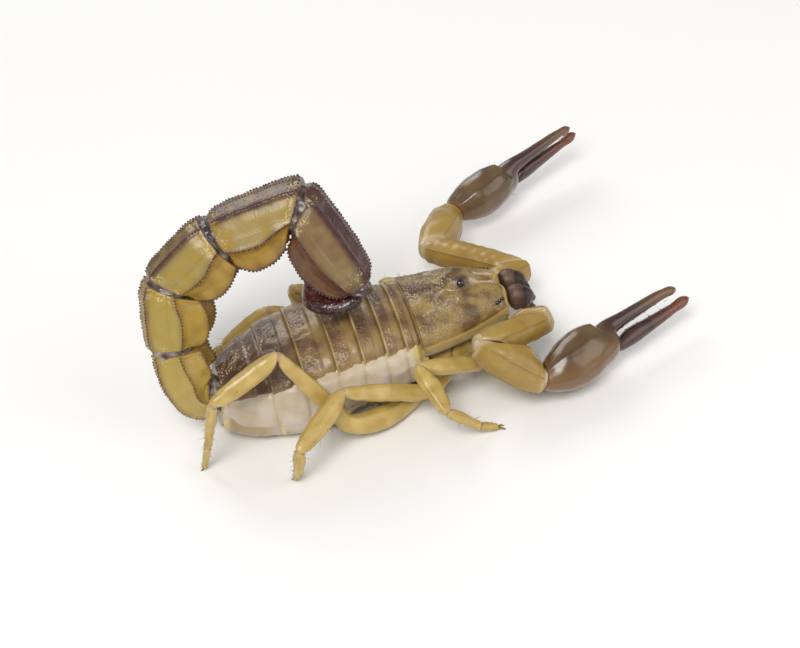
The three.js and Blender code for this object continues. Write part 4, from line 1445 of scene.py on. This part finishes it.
    def segment(self, number: int) -> None:
        """One tail segment: the keeled outline carried along its path, with ridges, panels and bead rows.

        Towards the far end the upper keels sink to the sides: a height share s above the middle becomes
        s to the power of 1 + drop.

        Args:
            number: 1 at the trunk to 5 before the sting.
        """
        path = self.path(number)
        t, count = end_spaced(150, 0.5), len(self.loop)
        columns = count * 11
        sx, sy, u = self.section(columns)
        w, below, above = path.read(path.sizes, t).T[..., None]
        drop = self.drops[number - 1] * smooth(0.55, 0.95, t)[:, None]
        share = np.sign(sy) * np.abs(sy) ** (1 + drop * (sy > 0))
        x, y = sx * w, share * np.where(sy > 0, above, below)
        base = path.place(t, x, y)
        normal = grid_normals(base)
        arc = {}
        for name, places in self.stops.items():
            off = [np.minimum(np.abs(u - p), count - np.abs(u - p)) for p in places]
            arc[name] = np.minimum(*off)
        taper = (smooth(0, 0.1, t) * smooth(1, 0.93, t))[:, None]
        ridge = sum(tall * hill(arc[name], 0, 0.26) for name, _, tall in self.keels) * taper
        inside = (sy > 0) * 1
        outer = held(smooth(0.6, 0.1, arc["lower"]) + (np.abs(sx) < 0.74) * (sy < 0))
        crescent = (arc["upper"] + arc["crest"] < 2.05) * 1
        panel = (np.abs(sx) > 0.74) * (1 - crescent)
        middle = np.sin(np.pi * held(t))[:, None]
        hollow = (-0.16 * hill(arc["upper"], 1.2, 0.6) * middle * (1 - inside)
                  - 0.1 * crescent * hill(arc["upper"], 1, 0.5))
        collar = 0.1 * smooth(0.9, 0.95, t) * smooth(1, 0.965, t) + 0.05 * hill(t, 0.06, 0.03)
        lump = 0.03 * waves(base, 1.8, 100 + number)
        grain = granules(t[:, None] * path.length, u * 0.9, 0.3, 120 + number)
        lift = (ridge + hollow + collar[:, None] + lump
                + (0.012 + 0.03 * outer * taper) * grain * (grain > 0.4) * taper)
        lift = lift - 0.25 * (smooth(0.03, 0, t) + smooth(0.97, 1, t) * (number < 5))[:, None]
        points = base + normal * lift[..., None]
        above_floor(points, 0.05)
        blotch = waves(base, 1.6, 130 + number)
        fine = sum(hill(arc[name], 0, 0.2) for name, _, _ in self.keels)
        wide = (hill(arc["lower"], 0, 0.55) + 0.35 * hill(arc["upper"], 0, 0.35)
                + 0.7 * hill(arc["crest"], 0, 0.4))
        dark = self.darkness[number - 1]
        ends = (hill(t, 0, 0.04) + hill(t, 1, 0.035))[:, None]
        near_end = (hill(t, 0.1, 0.07) + 1.3 * hill(t, 0.9, 0.08))[:, None]
        parts = Parts().tube(
            points,
            keel=held((0.35 * fine + dark * wide * (0.8 + 0.25 * blotch)) * taper + 1.1 * dark * ends),
            rim=held(outer * self.rims[number - 1] * (0.9 + 0.2 * blotch)),
            pale=held(panel * (0.55 + 0.3 * middle + 0.3 * blotch)),
            tone=0.45 * blotch + 0.3 * (number == 5) * smooth(0.4, 0.9, t)[:, None] - 0.3 * crescent,
            dust=held(0.8 * near_end * (0.15 + panel + 0.7 * outer)))
        for index, name in enumerate(self.stops):
            pitch, size = (0.38, 0.125) if name == "crest" else (0.34, 0.105)
            for side, place in enumerate(self.stops[name]):
                column = (place * 11) % columns
                keep = slice(8, -7)
                bead_row(
                    parts, points[keep, column], normal[keep, column], pitch, size * (0.85 + 0.3 * t[keep]),
                    200 + 10 * number + 2 * index + side, 0.05, 1.1, keel=self.bead_tone[number - 1],
                    tone=0.5)
        self.shop.piece(
            f"tail_segment_{number}", parts, TAIL_FINISHES[number - 1], "tail", f"metasoma_{number}")

    def joint_skin(self, number: int) -> None:
        """The folded skin that bridges segments number and number + 1, a little inside both.

        Args:
            number: the segment before the joint; 0 is the trunk.
        """
        if number == 0:
            places = [vec(-20.4, 0, 4.2), vec(-21.6, 0.05, 4.1), vec(-22.7, 0.3, 4.5)]
            dorsal, size = UP, (2.2, 1.7, 1.7)
        else:
            here, run = self.at[number], self.runs[number - 1]
            ahead = self.runs[number] if number < 5 else unit(run + 0.6 * np.cross(run, self.side))
            places = [here - run * 1.2, here, here + ahead * (1.3 if number < 5 else 0.9)]
            dorsal = np.cross(unit(run + ahead), self.side)
            size = ((2.55, 2.4, 2.3), (2.7, 2.5, 2.8), (1.5, 1.3, 1.3))[(number > 2) + (number > 4)]
        points = sleeve(places, size, dorsal, 50, 120, 2.6, 0.1, 34)
        points += grid_normals(points) * (0.05 * waves(points, 0.8, 140 + number))[..., None]
        shade = self.skin_shades[number]
        parts = Parts().tube(
            points, tone=shade + 0.3 * waves(points, 1, 150 + number),
            keel=held(shade * 0.6 + 0.3 * waves(points, 1.4, 160)),
            pale=held(0.55 - shade * 0.5 + 0.4 * waves(points, 1, 170)))
        self.shop.piece(f"tail_joint_skin_{number}", parts, Finish.TAIL_JOINT, "tail")

    def sting(self) -> None:
        """The poison bulb with its beaded keels, and the smooth curved spine behind it."""
        run, end = self.runs[4], self.at[5]
        dorsal = np.cross(run, self.side)

        def line(rows: Rows) -> Path:
            """The middle line of bulb or spine, from its rows."""
            places = [end + run * r[0] + dorsal * r[1] + self.side * r[2] for r in rows]
            return Path([(p, *r[3:]) for p, r in zip(places, rows)], -run, gap=0)

        path = line(self.bulb)
        t, angle = end_spaced(90, 0.8), ring_angles(110)
        points = tapered(path, t, angle, 2.1, domed(t, 0.08))
        normal = grid_normals(points)
        grain = granules(t[:, None] * path.length, angle * 1.6, 0.36, 31)
        body = (smooth(0.05, 0.2, t) * smooth(0.95, 0.75, t))[:, None]
        parts = Parts().tube(
            points + normal * (0.05 * grain * body)[..., None], tone=0.3 * waves(points, 1.2, 33),
            keel=held(0.35 * smooth(0.6, 0.9, grain) * body), pale=held(hill(angle, np.pi / 2, 0.9) * 0.7))
        for index, column in enumerate((8, 24, 31, 47, 66, 76, 86, 98)):
            bead_row(parts, points[8:-14, column], normal[8:-14, column], 0.3, 0.09, 180 + index, 0.3,
                     keel=0.3 + 0.2 * (index % 2))
        self.shop.piece("sting_bulb", parts, Finish.STING, "sting", "telson_bulb")
        t = end_spaced(60, 0.4)
        parts = Parts().tube(
            tapered(line(self.spine), t, ring_angles(36), 2), tone=0.6 * smooth(0.2, 0.7, t)[:, None])
        self.shop.piece("sting_spine", parts, Finish.STING, "sting", "telson_spine")

    def build(self) -> None:
        """Makes the tail and the sting."""
        for number in range(1, 6):
            self.segment(number)
        for number in range(0, 6):
            self.joint_skin(number)
        self.sting()


# ---- Arms with pincers ----

@dataclass
class Arm(Assembly):
    """A pedipalp: three keeled segments, a glossy hand and two long toothed fingers.

    palm and digit rows are distance from the wrist, out towards the fixed finger, and two half-sizes.
    """

    label: str
    joints: Rows
    opening: Place
    plump: float
    palm: Rows = (
        (0, 0, 1.05, 1.1), (0.9, 0, 1.65, 1.7), (2.4, -0.05, 2.2, 2.4), (4.4, -0.1, 2.4, 2.75),
        (6.4, 0, 2.2, 2.55), (8, 0.15, 1.6, 2), (9, 0.8, 1, 1.1), (10.6, 0.95, 0.75, 0.76),
        (13.4, 0.98, 0.6, 0.64), (16.4, 0.95, 0.45, 0.5), (17.95, 0.75, 0.27, 0.28))
    digit: Rows = (
        (8.4, -1.1, 0.55, 0.5), (9.25, -1.3, 0.7, 0.6), (10.3, -1.15, 0.8, 0.82), (13.4, -1.05, 0.62, 0.72),
        (16.4, -0.95, 0.45, 0.52), (18.65, -0.8, 0.27, 0.28))
    manus: float = 9.0
    segments: tuple[tuple[str, Rows], ...] = (
        ("trochanter", ((0, 1.15, 1.2), (0.3, 1.45, 1.5), (0.75, 1.5, 1.5), (1, 1.25, 1.3))),
        ("femur", ((0, 1.15, 1.15), (0.18, 1.3, 1.35), (0.5, 1.4, 1.5), (0.82, 1.45, 1.5), (1, 1.2, 1.25))),
        ("patella", ((0, 1.2, 1.3), (0.2, 1.7, 1.8), (0.5, 1.9, 2.05), (0.8, 1.75, 1.85), (1, 1.2, 1.3))))

    def __post_init__(self) -> None:
        """Works out runs and the direction in which the fingers open."""
        self.at = [np.array(j, float) for j in self.joints]
        self.runs = [unit(b - a) for a, b in zip(self.at[:-1], self.at[1:])]
        opening = np.array(self.opening)
        self.open = unit(opening - (opening @ self.runs[3]) * self.runs[3])
        self.palm = tuple((d, out, w, h * (self.plump if 0.5 < d < 8.5 else 1)) for d, out, w, h in self.palm)

    def segment(self, index: int) -> None:
        """A segment of the arm with four granular keels.

        Args:
            index: 0 at the body to 2 before the hand.
        """
        name, rows = self.segments[index]
        start, end = self.at[index], self.at[index + 1]
        path = Path([(start + (end - start) * r[0], r[1], r[2]) for r in rows], UP,
                    self.runs[index - 1] if index else None, self.runs[index + 1], 0.1)
        t, angle = end_spaced(90, 0.6), ring_angles(112)
        marks, radius = (38, 142, 215, 325), rows[2][1]
        taper = (smooth(0.03, 0.16, t) * smooth(0.98, 0.88, t))[:, None]
        ridge = hill(angle_gap(angle, marks) * radius, 0, 0.14) * taper
        base = tapered(path, t, angle, 2.4)
        normal = grid_normals(base)
        grain = granules(t[:, None] * path.length, angle * radius, 0.3, 300 + index)
        patchy = held(waves(base, 1.4, 310 + index))
        lift = 0.1 * ridge + 0.03 * grain * patchy * taper + 0.04 * waves(base, 1.6, 320 + index)
        collar = 0.08 * hill(t, 0.93, 0.03) - 0.2 * smooth(0.03, 0, t) - 0.2 * smooth(0.97, 1, t)
        lift = lift + collar[:, None]
        points = base + normal * lift[..., None]
        ends = (hill(t, 0, 0.07) + hill(t, 1, 0.06))[:, None]
        parts = Parts().tube(
            points, keel=held(0.2 * ridge + 0.15 * smooth(0.5, 0.9, grain) * patchy),
            pale=held(0.85 * ends + 0.08 * patchy), tone=0.25 * waves(base, 2.6, 330 + index))
        for order, mark in enumerate(marks):
            column = round(mark / 360 * 112) % 112
            # painted glints: on the left femur alone the beads turn pale instead of dark
            light = 0.6 * (self.label == "left" and index == 1)
            bead_row(
                parts, points[12:-10, column], normal[12:-10, column], 0.3, 0.065, 340 + 4 * index + order,
                0.3, keel=0.35 * (1 - light), pale=light)
        self.shop.piece(f"arm_{self.label}_{name}", parts, Finish.ARM, "arm", f"pedipalp_{self.label}_{name}")

    def joint_skins(self) -> None:
        """Pale skin at the arm's joints: short rounded sleeves a little inside the segments."""
        parts = Parts()
        for index, size in enumerate((1.1, 1.08, 1.05, 1)):
            back, here, ahead = self.runs[max(index - 1, 0)], self.at[index], self.runs[index]
            points = sleeve(
                (here - back * 0.9, here, here + ahead * 0.9), (size, size), UP, 30, 56, 2.3, 0.08, 30)
            parts.tube(points, tone=0.4 * waves(points, 0.7, 350 + index), pale=0.5)
        self.shop.piece(f"arm_{self.label}_joint_skins", parts, Finish.JOINT, "arm")

    def stops(self, rows: Sequence[tuple], tip: float) -> list[tuple]:
        """Stops of the hand or finger, closed by a small tip past the last row.

        Args:
            rows: distance from the wrist, out towards the fixed finger, and half-sizes.
            tip: length of the tip.

        Returns:
            Place and two half-sizes for each.
        """
        last = rows[-1]
        rows = [*rows, (last[0] + tip, last[1], 0.4 * last[2], 0.4 * last[3])]
        return [(self.at[3] + self.runs[3] * d + self.open * out, w, h) for d, out, w, h in rows]

    def hand(self) -> None:
        """The swollen hand that narrows into the fixed finger, dark towards the tip."""
        path = Path(self.stops(self.palm, 0.2), self.open, self.runs[2], gap=0.1)
        t, angle = end_spaced(230, 0.3), ring_angles(120)
        base = tapered(path, t, angle, 2.2)
        s, end = t * path.length, path.length
        finger = smooth(self.manus - 0.9, self.manus + 0.5, s)[:, None]
        ribs = hill(angle_gap(angle, (20, 65, 115, 160, 215, 325)), 0, 0.09) * (1 - finger)
        lift = (
            0.03 * waves(base, 2, 360) * (1 - finger) + 0.045 * ribs - 0.15 * smooth(0.012, 0, t)[:, None])
        points = base + grid_normals(base) * lift[..., None]
        tip = smooth(self.manus + 2, end - 1, s)[:, None]
        below = smooth(0.3, -0.6, np.sin(angle))
        parts = Parts().tube(
            points, rim=finger * (1 - 0.75 * tip),
            keel=held(0.25 * ribs + 0.25 * hill(s, self.manus - 1, 0.8)[:, None] * (1 - below)),
            pale=held(0.6 * below * (1 - finger) + 0.8 * hill(s, 0, 0.4)[:, None] + 0.7 * tip),
            tone=0.4 * waves(base, 3.2, 361))
        self.teeth(parts, [row for row in self.palm if row[0] > self.manus + 0.9], -1)
        self.shop.piece(f"hand_{self.label}", parts, Finish.HAND, "hand", f"pedipalp_{self.label}_hand")

    def finger(self) -> None:
        """The movable finger, hinged at the hand's end."""
        path = Path(self.stops(self.digit, 0.2), self.open, gap=0)
        t = end_spaced(130, 0.3)
        base = tapered(path, t, ring_angles(64), 2.2, domed(t, 0.04, 0, 0.2))
        parts = Parts().tube(
            base, pale=(0.8 * smooth(0.4, 0.95, t) + 0.4 * hill(t, 0, 0.05))[:, None],
            tone=0.4 * waves(base, 1.5, 371))
        self.teeth(parts, self.digit[1:], 1)
        self.shop.piece(
            f"finger_{self.label}", parts, Finish.FINGER, "finger", f"pedipalp_{self.label}_finger")

    def teeth(self, parts: Parts, rows: Sequence[tuple], sign: int) -> None:
        """A row of fine teeth along a finger's inner edge, with a larger one every ninth.

        Args:
            parts: what the teeth are added to.
            rows: distance from the wrist, middle of the finger and its half-sizes.
            sign: 1 where the teeth point to the fixed finger, -1 where they point away from it.
        """
        distance = np.arange(rows[0][0], rows[-1][0], 0.17)
        out = curve_through([(r[0], r[1] + sign * (r[3] - 0.02)) for r in rows], distance)
        centre = self.at[3] + distance[:, None] * self.runs[3] + out[:, None] * self.open
        big = np.arange(len(distance)) % 9 == 0
        size = np.where(big, 0.11, 0.065)
        side = np.cross(self.open, self.runs[3])
        axes = np.broadcast_to(np.stack([side, self.runs[3], self.open]), (len(centre), 3, 3))
        parts.beads(
            centre + big[:, None] * side * 0.12, axes, np.stack([size, size, size * 1.3], -1), keel=1)

    def build(self) -> None:
        """Makes the arm."""
        for index in range(3):
            self.segment(index)
        self.joint_skins()
        self.hand()
        self.finger()


# ---- Walking legs ----

@dataclass
class Leg(Assembly):
    """A walking leg: root and thigh, knee segment, shin and two-clawed foot."""

    label: str
    base: Rows
    knee: Place
    shin: Place
    ankle: Place
    toe: Place
    girth: float = 1.0
    seed: int = field(init=False)
    thigh_sizes: Rows = ((0.25, 0.72, 0.88), (0.6, 0.68, 0.86), (0.88, 0.56, 0.66), (1, 0.5, 0.56))
    knee_sizes: Rows = (
        (0, 0.5, 0.56), (0.15, 0.7, 0.85), (0.5, 0.75, 0.98), (0.85, 0.62, 0.78), (1, 0.46, 0.52))
    shin_sizes: Rows = ((0, 0.46, 0.5), (0.25, 0.56, 0.62), (0.8, 0.45, 0.48), (1, 0.4, 0.42))
    foot_sizes: Rows = (
        (0, 0.4, 0.42), (0.3, 0.38, 0.4), (0.5, 0.35, 0.37), (0.85, 0.34, 0.32), (1, 0.26, 0.26))

    def __post_init__(self) -> None:
        """Works out the runs and the dorsal side, which is the outer side of the knee."""
        self.at = [
            np.array(p, float) for p in (self.base[-1][:3], self.knee, self.shin, self.ankle, self.toe)]
        self.runs = [unit(b - a) for a, b in zip(self.at[:-1], self.at[1:])]
        self.dorsal = unit(self.runs[0] - self.runs[1])
        self.seed = 400 + sum(map(ord, self.label))

    def between(self, index: int, rows: Sequence[Place]) -> list[tuple]:
        """Stops on the straight line from joint index to the next, from rows of (fraction, w, d)."""
        a, b, k = self.at[index], self.at[index + 1], self.girth
        return [(a + (b - a) * t, w * k, d * k) for t, w, d in rows]

    def tube(self, parts: Parts, stops: list[tuple], before: Array | None, after: Array | None,
             count: int) -> None:
        """Adds a segment along stops, with fine keels and pale ends.

        Args:
            parts: what it is added to.
            stops: the centre line and its sizes.
            before: run of the segment before, where it shares a joint plane.
            after: run of the segment after.
            count: rows of points.
        """
        t, angle = end_spaced(count, 0.5), ring_angles(56)
        base = tapered(Path(stops, self.dorsal, before, after, 0.08), t, angle, 2.3,
                       1 if after is not None else domed(t, 0, 0.06, 0.2))
        taper = (smooth(0.04, 0.14, t) * smooth(0.97, 0.86, t))[:, None]
        ridge = hill(angle_gap(angle, (60, 120, 240, 300)) * 0.8, 0, 0.11) * taper
        ends = 0.05 * hill(t, 0.93, 0.03) - 0.14 * smooth(0.03, 0, t) - 0.14 * smooth(0.975, 1, t)
        lift = 0.045 * ridge + 0.022 * waves(base, 1.1, self.seed) + ends[:, None]
        points = base + grid_normals(base) * lift[..., None]
        above_floor(points, 0)
        tips = (hill(t, 0, 0.04) + hill(t, 1, 0.04))[:, None]
        parts.tube(
            points, keel=held(0.25 * ridge + 0.15 * tips),
            pale=(0.4 * hill(t, 0.03, 0.05) + 0.35 * hill(t, 0.985, 0.03))[:, None],
            tone=0.35 * waves(base, 1.8, self.seed + 1))

    def build(self) -> None:
        """Makes the leg's three dressed segments and its joint skins."""
        r = self.runs
        thigh = [(np.array(b[:3]), 0.92 * b[3], b[3]) for b in self.base]
        thigh += self.between(0, self.thigh_sizes)
        middle = self.between(1, self.knee_sizes)
        for name, stops, before, after, count in (
                ("thigh", thigh, None, r[1], 120), ("knee", middle, r[0], r[2], 90)):
            parts = Parts()
            self.tube(parts, stops, before, after, count)
            self.shop.piece(
                f"leg_{self.label}_{name}_skin", parts, Finish.LEG, "leg", f"leg_{self.label}_{name}")
        self.foot()
        skins = Parts()
        for index, size in enumerate((0.5, 0.44, 0.33)):
            back, here, ahead = r[index], self.at[index + 1], r[index + 1]
            size *= 0.95 * self.girth
            points = sleeve(
                (here - back * 0.5, here, here + ahead * 0.5), (size, size), self.dorsal, 18, 28, 2.2, 0.08)
            above_floor(points, 0.05)
            skins.tube(points, tone=0.4 * waves(points, 0.5, self.seed + index), pale=0.1)
        self.shop.piece(f"leg_{self.label}_joint_skins", skins, Finish.JOINT, "leg")

    def foot(self) -> None:
        """Shin, foot, a pair of spurs at the ankle, and the pair of claws."""
        ankle, toe, r = self.at[3], self.at[4], self.runs
        parts = Parts()
        self.tube(parts, self.between(2, self.shin_sizes), r[1], r[3], 80)
        self.tube(parts, self.between(3, self.foot_sizes), r[2], None, 70)
        side = unit(np.cross(UP, r[3]))
        for sign in (-1, 1):
            claw = [(toe + side * sign * 0.1, 0.13), (toe + r[3] * 0.35 + side * sign * 0.24 + UP * 0.1, 0.1),
                    (toe + r[3] * 0.7 + side * sign * 0.3 + UP * 0.02, 0.065),
                    (toe + r[3] * 0.85 + side * sign * 0.3 - UP * 0.2, 0.015)]
            spike(parts, claw, keel=1)
            spike(parts, [(ankle + side * sign * 0.25 - UP * 0.1, 0.09),
                          (ankle + side * sign * 0.45 + r[3] * 0.4 - UP * 0.25, 0.015)], keel=0.9)
        self.shop.piece(f"leg_{self.label}_foot_skin", parts, Finish.LEG, "leg", f"leg_{self.label}_foot")


def spike(parts: Parts, stops: list[tuple[Array, float]], **fields: float) -> None:
    """Adds a thin tapering spike.

    Args:
        parts: what it is added to.
        stops: pairs of place and radius.
        fields: its surface fields.
    """
    path = Path([(p, radius, radius) for p, radius in stops], UP, gap=0)
    points = tapered(path, np.linspace(0, 1, 14), ring_angles(10), 2)
    above_floor(points, 0)
    parts.tube(points, **fields)


# ---- Bristles ----

@dataclass
class Bristles(Assembly):
    """Thin stiff hairs scattered on legs, hands and tail end, as fine tapering tubes.

    Each stands on a cell of its own in an unwrap of its limb, where columns follow the limb's length
    and rows go round it; patch is the size of a hair's place there.
    """

    animal: "Scorpion"
    patch: float = 0.003
    thick: float = 0.024
    seed: int = 700

    def hairs(self, start: Array, end: Array, dorsal: Array, radius: float, count: int, length: float,
              strip: int, strips: int) -> tuple[Array, Array]:
        """Hairs on the straight stretch from start to end of a limb.

        Args:
            start: where the stretch begins.
            end: where it ends.
            dorsal: its dorsal side.
            radius: how far its surface lies from its middle.
            count: how many hairs.
            length: how long the longest is.
            strip: which strip of the unwrap belongs to the limb.
            strips: how many strips there are.

        Returns:
            n by 7 by 4 by 3 points, as rings along each hair, and n by 2 places on the unwrap.
        """
        rng = np.random.default_rng(self.seed + strip)
        run = unit(end - start)
        side = unit(np.cross(dorsal, run))
        up = np.cross(run, side)
        t, turn = rng.uniform(0.12, 0.95, count), rng.uniform(0, TAU, count)
        out = np.cos(turn)[:, None] * side + np.sin(turn)[:, None] * up
        root = start + t[:, None] * (end - start) + out * radius * 0.85
        lean = unit(out + run * rng.uniform(0.3, 0.9, (count, 1)) + 0.15 * rng.normal(size=(count, 3)))
        long = length * rng.uniform(0.5, 1, count)
        v = np.linspace(0, 1, 7)
        bend = run * 0.25
        line = (root[:, None] + (long[:, None] * v)[..., None] * lean[:, None]
                + (long[:, None] * v**2)[..., None] * bend)
        ring = np.cross(lean, run)
        ring, other = unit(ring), unit(np.cross(lean, ring))
        q = TAU * np.arange(4) / 4
        around = np.cos(q)[:, None] * ring[:, None] + np.sin(q)[:, None] * other[:, None]
        width = self.thick * (1 - 0.85 * v)
        rings = line[:, :, None] + around[:, None] * width[None, :, None, None]
        return rings, np.stack([t, (strip + turn / TAU) / strips], -1)

    def build(self) -> None:
        """Makes one piece of all the bristles, on stretches of the legs, hands and last tail segment."""
        stretches = []
        for leg in self.animal.legs:
            for index, radius, count, length in (
                    (0, 0.75, 10, 0.9), (1, 0.85, 12, 1), (2, 0.5, 14, 0.9), (3, 0.36, 12, 0.5)):
                stretches.append(
                    (leg.at[index], leg.at[index + 1], leg.dorsal, radius * leg.girth, count, length))
        for arm in self.animal.arms:
            tip = arm.at[3] + arm.runs[3] * 8
            stretches.append((arm.at[3] + arm.runs[3] * 2, tip, arm.open, 2.3, 16, 0.8))
            stretches.append((tip + arm.open * 0.8, arm.at[4], arm.open, 0.6, 14, 0.7))
            stretches += [(arm.at[k], arm.at[k + 1], UP, 1.4, 10, 0.8) for k in (1, 2)]
        tail = self.animal.tail
        stretches.append((tail.at[4], tail.at[5], np.cross(tail.runs[4], tail.side), 2.6, 18, 0.9))
        parts, patches = Parts(), []
        for strip, stretch in enumerate(stretches):
            rings, places = self.hairs(*stretch, strip, len(stretches))
            above_floor(rings, 0.02)
            corner = np.array([(-0.5, -0.5), (0.5, -0.5), (0.5, 0.5), (-0.5, 0.5)]) * self.patch
            for hair, place in zip(rings, places):
                parts.tube(hair)
                spread = place + np.linspace(1, 0.2, 7)[:, None, None] * corner
                patches.append(np.concatenate([spread.reshape(-1, 2), place[None], place[None]]))
        self.shop.piece("bristles", parts, Finish.BRISTLE, "leg", patches=np.concatenate(patches))


# ---- The whole animal, its floor, light and camera ----

@dataclass
class Studio(Assembly):
    """A pale floor, soft light and a camera at a low three-quarter angle from the animal's right.

    eye is in the animal's millimetres, angles in degrees, and daylight the strength of the world. Each
    lamp has a name, place, side, power and perhaps a colour, in metres and watts.
    """

    eye: Place = (-21.6, -146.2, 121.4)
    yaw: float = 8.0
    pitch: float = 38.0
    roll: float = -11.0
    lens: float = 81.0
    daylight: float = 0.32
    floor_half: float = 3.0
    lamps: tuple[tuple, ...] = (
        ("key", (-0.12, -0.30, 0.42), 0.26, 1.95, (1, 0.98, 0.95)), ("fill", (0.35, -0.25, 0.25), 0.35, 0.6),
        ("back", (-0.1, 0.4, 0.35), 0.3, 0.95))

    def camera(self) -> None:
        """Points the camera: forward f from yaw and pitch, then right and up turned by the roll."""
        y, p, r = (np.radians(v) for v in (self.yaw, self.pitch, self.roll))
        forward = vec(np.sin(y) * np.cos(p), np.cos(y) * np.cos(p), -np.sin(p))
        right = vec(np.cos(y), -np.sin(y), 0)
        up = np.cross(right, forward)
        turned = np.cos(r) * right + np.sin(r) * up, -np.sin(r) * right + np.cos(r) * up
        data = bpy.data.cameras.new("view")
        data.lens, data.sensor_width, data.clip_start, data.clip_end = self.lens, 36, 0.005, 50
        place = self.shop.metres(np.array(self.eye))
        bpy.context.scene.camera = self.stand(data, place, turned[0], turned[1], -forward)

    def stand(self, data: bpy.types.ID, place: Array, *axes: Array) -> bpy.types.Object:
        """Puts a camera or lamp in its place.

        Args:
            data: the camera or lamp.
            place: where it stands, in metres.
            axes: its right, up and backward directions.

        Returns:
            The object.
        """
        made = bpy.data.objects.new(data.name, data)
        made.matrix_world = Matrix(np.vstack([np.stack([*axes, place], 1), [0, 0, 0, 1]]).tolist())
        bpy.context.scene.collection.objects.link(made)
        return made

    def lamp(self, name: str, place: Place, size: float, power: float,
             colour: Colour = (1.0, 1.0, 1.0)) -> None:
        """A square soft lamp that faces the animal.

        Args:
            name: its name.
            place: where it stands, in metres.
            size: its side, in metres.
            power: in watts.
            colour: of its light.
        """
        data = bpy.data.lights.new(name, "AREA")
        data.shape, data.size, data.energy, data.color = "SQUARE", size, power, colour
        direction = unit(-np.array(place, float))
        side = unit(np.cross(direction, UP))
        self.stand(data, np.array(place), side, np.cross(side, direction), -direction)

    def floor(self) -> None:
        """A wide plane just under the animal."""
        mesh = bpy.data.meshes.new("floor")
        s = self.floor_half
        mesh.from_pydata([(-s, -s, 0), (s, -s, 0), (s, s, 0), (-s, s, 0)], [], [(0, 1, 2, 3)])
        mesh.materials.append(PlainStage().build())
        made = bpy.data.objects.new("floor", mesh)
        bpy.context.scene.collection.objects.link(made)

    def world(self) -> None:
        """Plain white light from all round, which the camera sees as a pale backdrop."""
        world = bpy.data.worlds.new("studio")
        bpy.context.scene.world = world
        world.use_nodes = True
        background = world.node_tree.nodes["Background"]
        background.inputs["Color"].default_value = (1, 1, 1, 1)
        background.inputs["Strength"].default_value = self.daylight

    def build(self) -> None:
        """Sets the stage."""
        bpy.context.scene.view_settings.view_transform = "Standard"
        self.camera()
        self.floor()
        self.world()
        for lamp in self.lamps:
            self.lamp(*lamp)


@dataclass
class Scorpion(Assembly):
    """The animal as a whole."""

    shield: HeadShield = field(default_factory=HeadShield)
    mouth: Mouthparts = field(default_factory=Mouthparts)
    trunk: Trunk = field(default_factory=Trunk)
    tail: Tail = field(default_factory=Tail)
    arms: tuple[Arm, ...] = (
        Arm("right",
            ((10.6, -4.1, 5), (12.4, -6, 6), (5.6, -8.7, 7.2), (10.5, -11.6, 3.5), (27.8, -5.5, 4.1)),
            (0.2, 0.7, 0.7), 1),
        Arm("left",
            ((10.6, 4.1, 4.6), (13.5, 5.7, 4.2), (5.8, 13.2, 4.6), (10.2, 20.1, 3.6), (27.1, 26.9, 5.6)),
            (0, -0.2, 1), 0.9))
    legs: tuple[Leg, ...] = (
        Leg("right_1", ((7.4, -4.1, 2.6, 0.8), (8.2, -5.1, 2.3, 0.85), (8.6, -5.9, 2.3, 0.7)),
            (7.6, -8, 3.4), (10.2, -7.9, 2.1), (12, -7.7, 1), (13.6, -7.6, 0.28), 0.85),
        Leg("right_2", ((4.4, -4.8, 2.9, 0.9), (4.9, -6.2, 3.4, 1), (4.6, -7, 4, 0.85)), (-1.2, -8.6, 6.7),
            (0.15, -13.1, 4), (3.1, -13.3, 1.2), (4.9, -13.2, 0.28)),
        Leg("right_3", ((1.9, -5.4, 2.6, 0.9), (0.3, -7, 2.9, 1), (-1.4, -7.8, 3, 0.9)), (-9.3, -9, 6.7),
            (-15.1, -13.6, 4.9), (-15.7, -12.8, 1.6), (-16, -11.9, 0.28), 1.05),
        Leg("right_4",
            ((0.4, -4, 0.75, 0.6), (-2.9, -6.8, 1.2, 0.95), (-6, -8.3, 1.6, 1.2), (-9.4, -8.8, 2.6, 0.95)),
            (-14.6, -7.2, 12), (-22, -8.6, 9.5), (-23.6, -7.5, 3.6), (-24.5, -6.5, 0.28)),
        Leg("left_1", ((7.4, 4.1, 2.6, 0.8), (8.2, 5.1, 2.3, 0.85), (8.6, 5.9, 2.2, 0.7)), (7.2, 8.2, 3.3),
            (9.4, 8.3, 2), (10.9, 8.4, 1), (12.4, 8.4, 0.28), 0.85),
        Leg("left_2", ((4.4, 4.8, 2.9, 0.9), (5.2, 6.2, 3.8, 1), (5, 6.9, 4.6, 0.85)), (-0.6, 9, 4.8),
            (1.4, 11.6, 2.4), (3, 12, 1.1), (4.6, 12.3, 0.28)),
        Leg("left_3", ((1.9, 5.4, 2.6, 0.9), (0.3, 7, 2.9, 1), (-1.4, 7.9, 3.2, 0.9)), (-10.2, 8, 8.2),
            (-9.6, 10.6, 3.4), (-8.8, 11.4, 1.5), (-7.8, 12, 0.28), 1.05),
        Leg("left_4",
            ((0.4, 4, 0.75, 0.6), (-2.9, 6.8, 1.2, 0.95), (-5.6, 8.1, 1.6, 1.1), (-7.6, 8.4, 2.4, 0.9)),
            (-13.6, 7.2, 7), (-19.2, 8.2, 3.1), (-21, 9, 1.3), (-22.6, 9.7, 0.28)))

    def build(self) -> None:
        """Makes every sub-assembly in turn."""
        for part in (self.shield, self.mouth, self.trunk, self.tail, *self.arms, *self.legs, Bristles(self)):
            part.build_in(self.shop)


def main() -> None:
    """Builds the animal and its studio."""
    logging.basicConfig(level=logging.INFO, format="%(message)s")
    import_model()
    shop = Workshop()
    Scorpion().build_in(shop)
    Studio().build_in(shop)


if __name__ == "__main__":
    main()
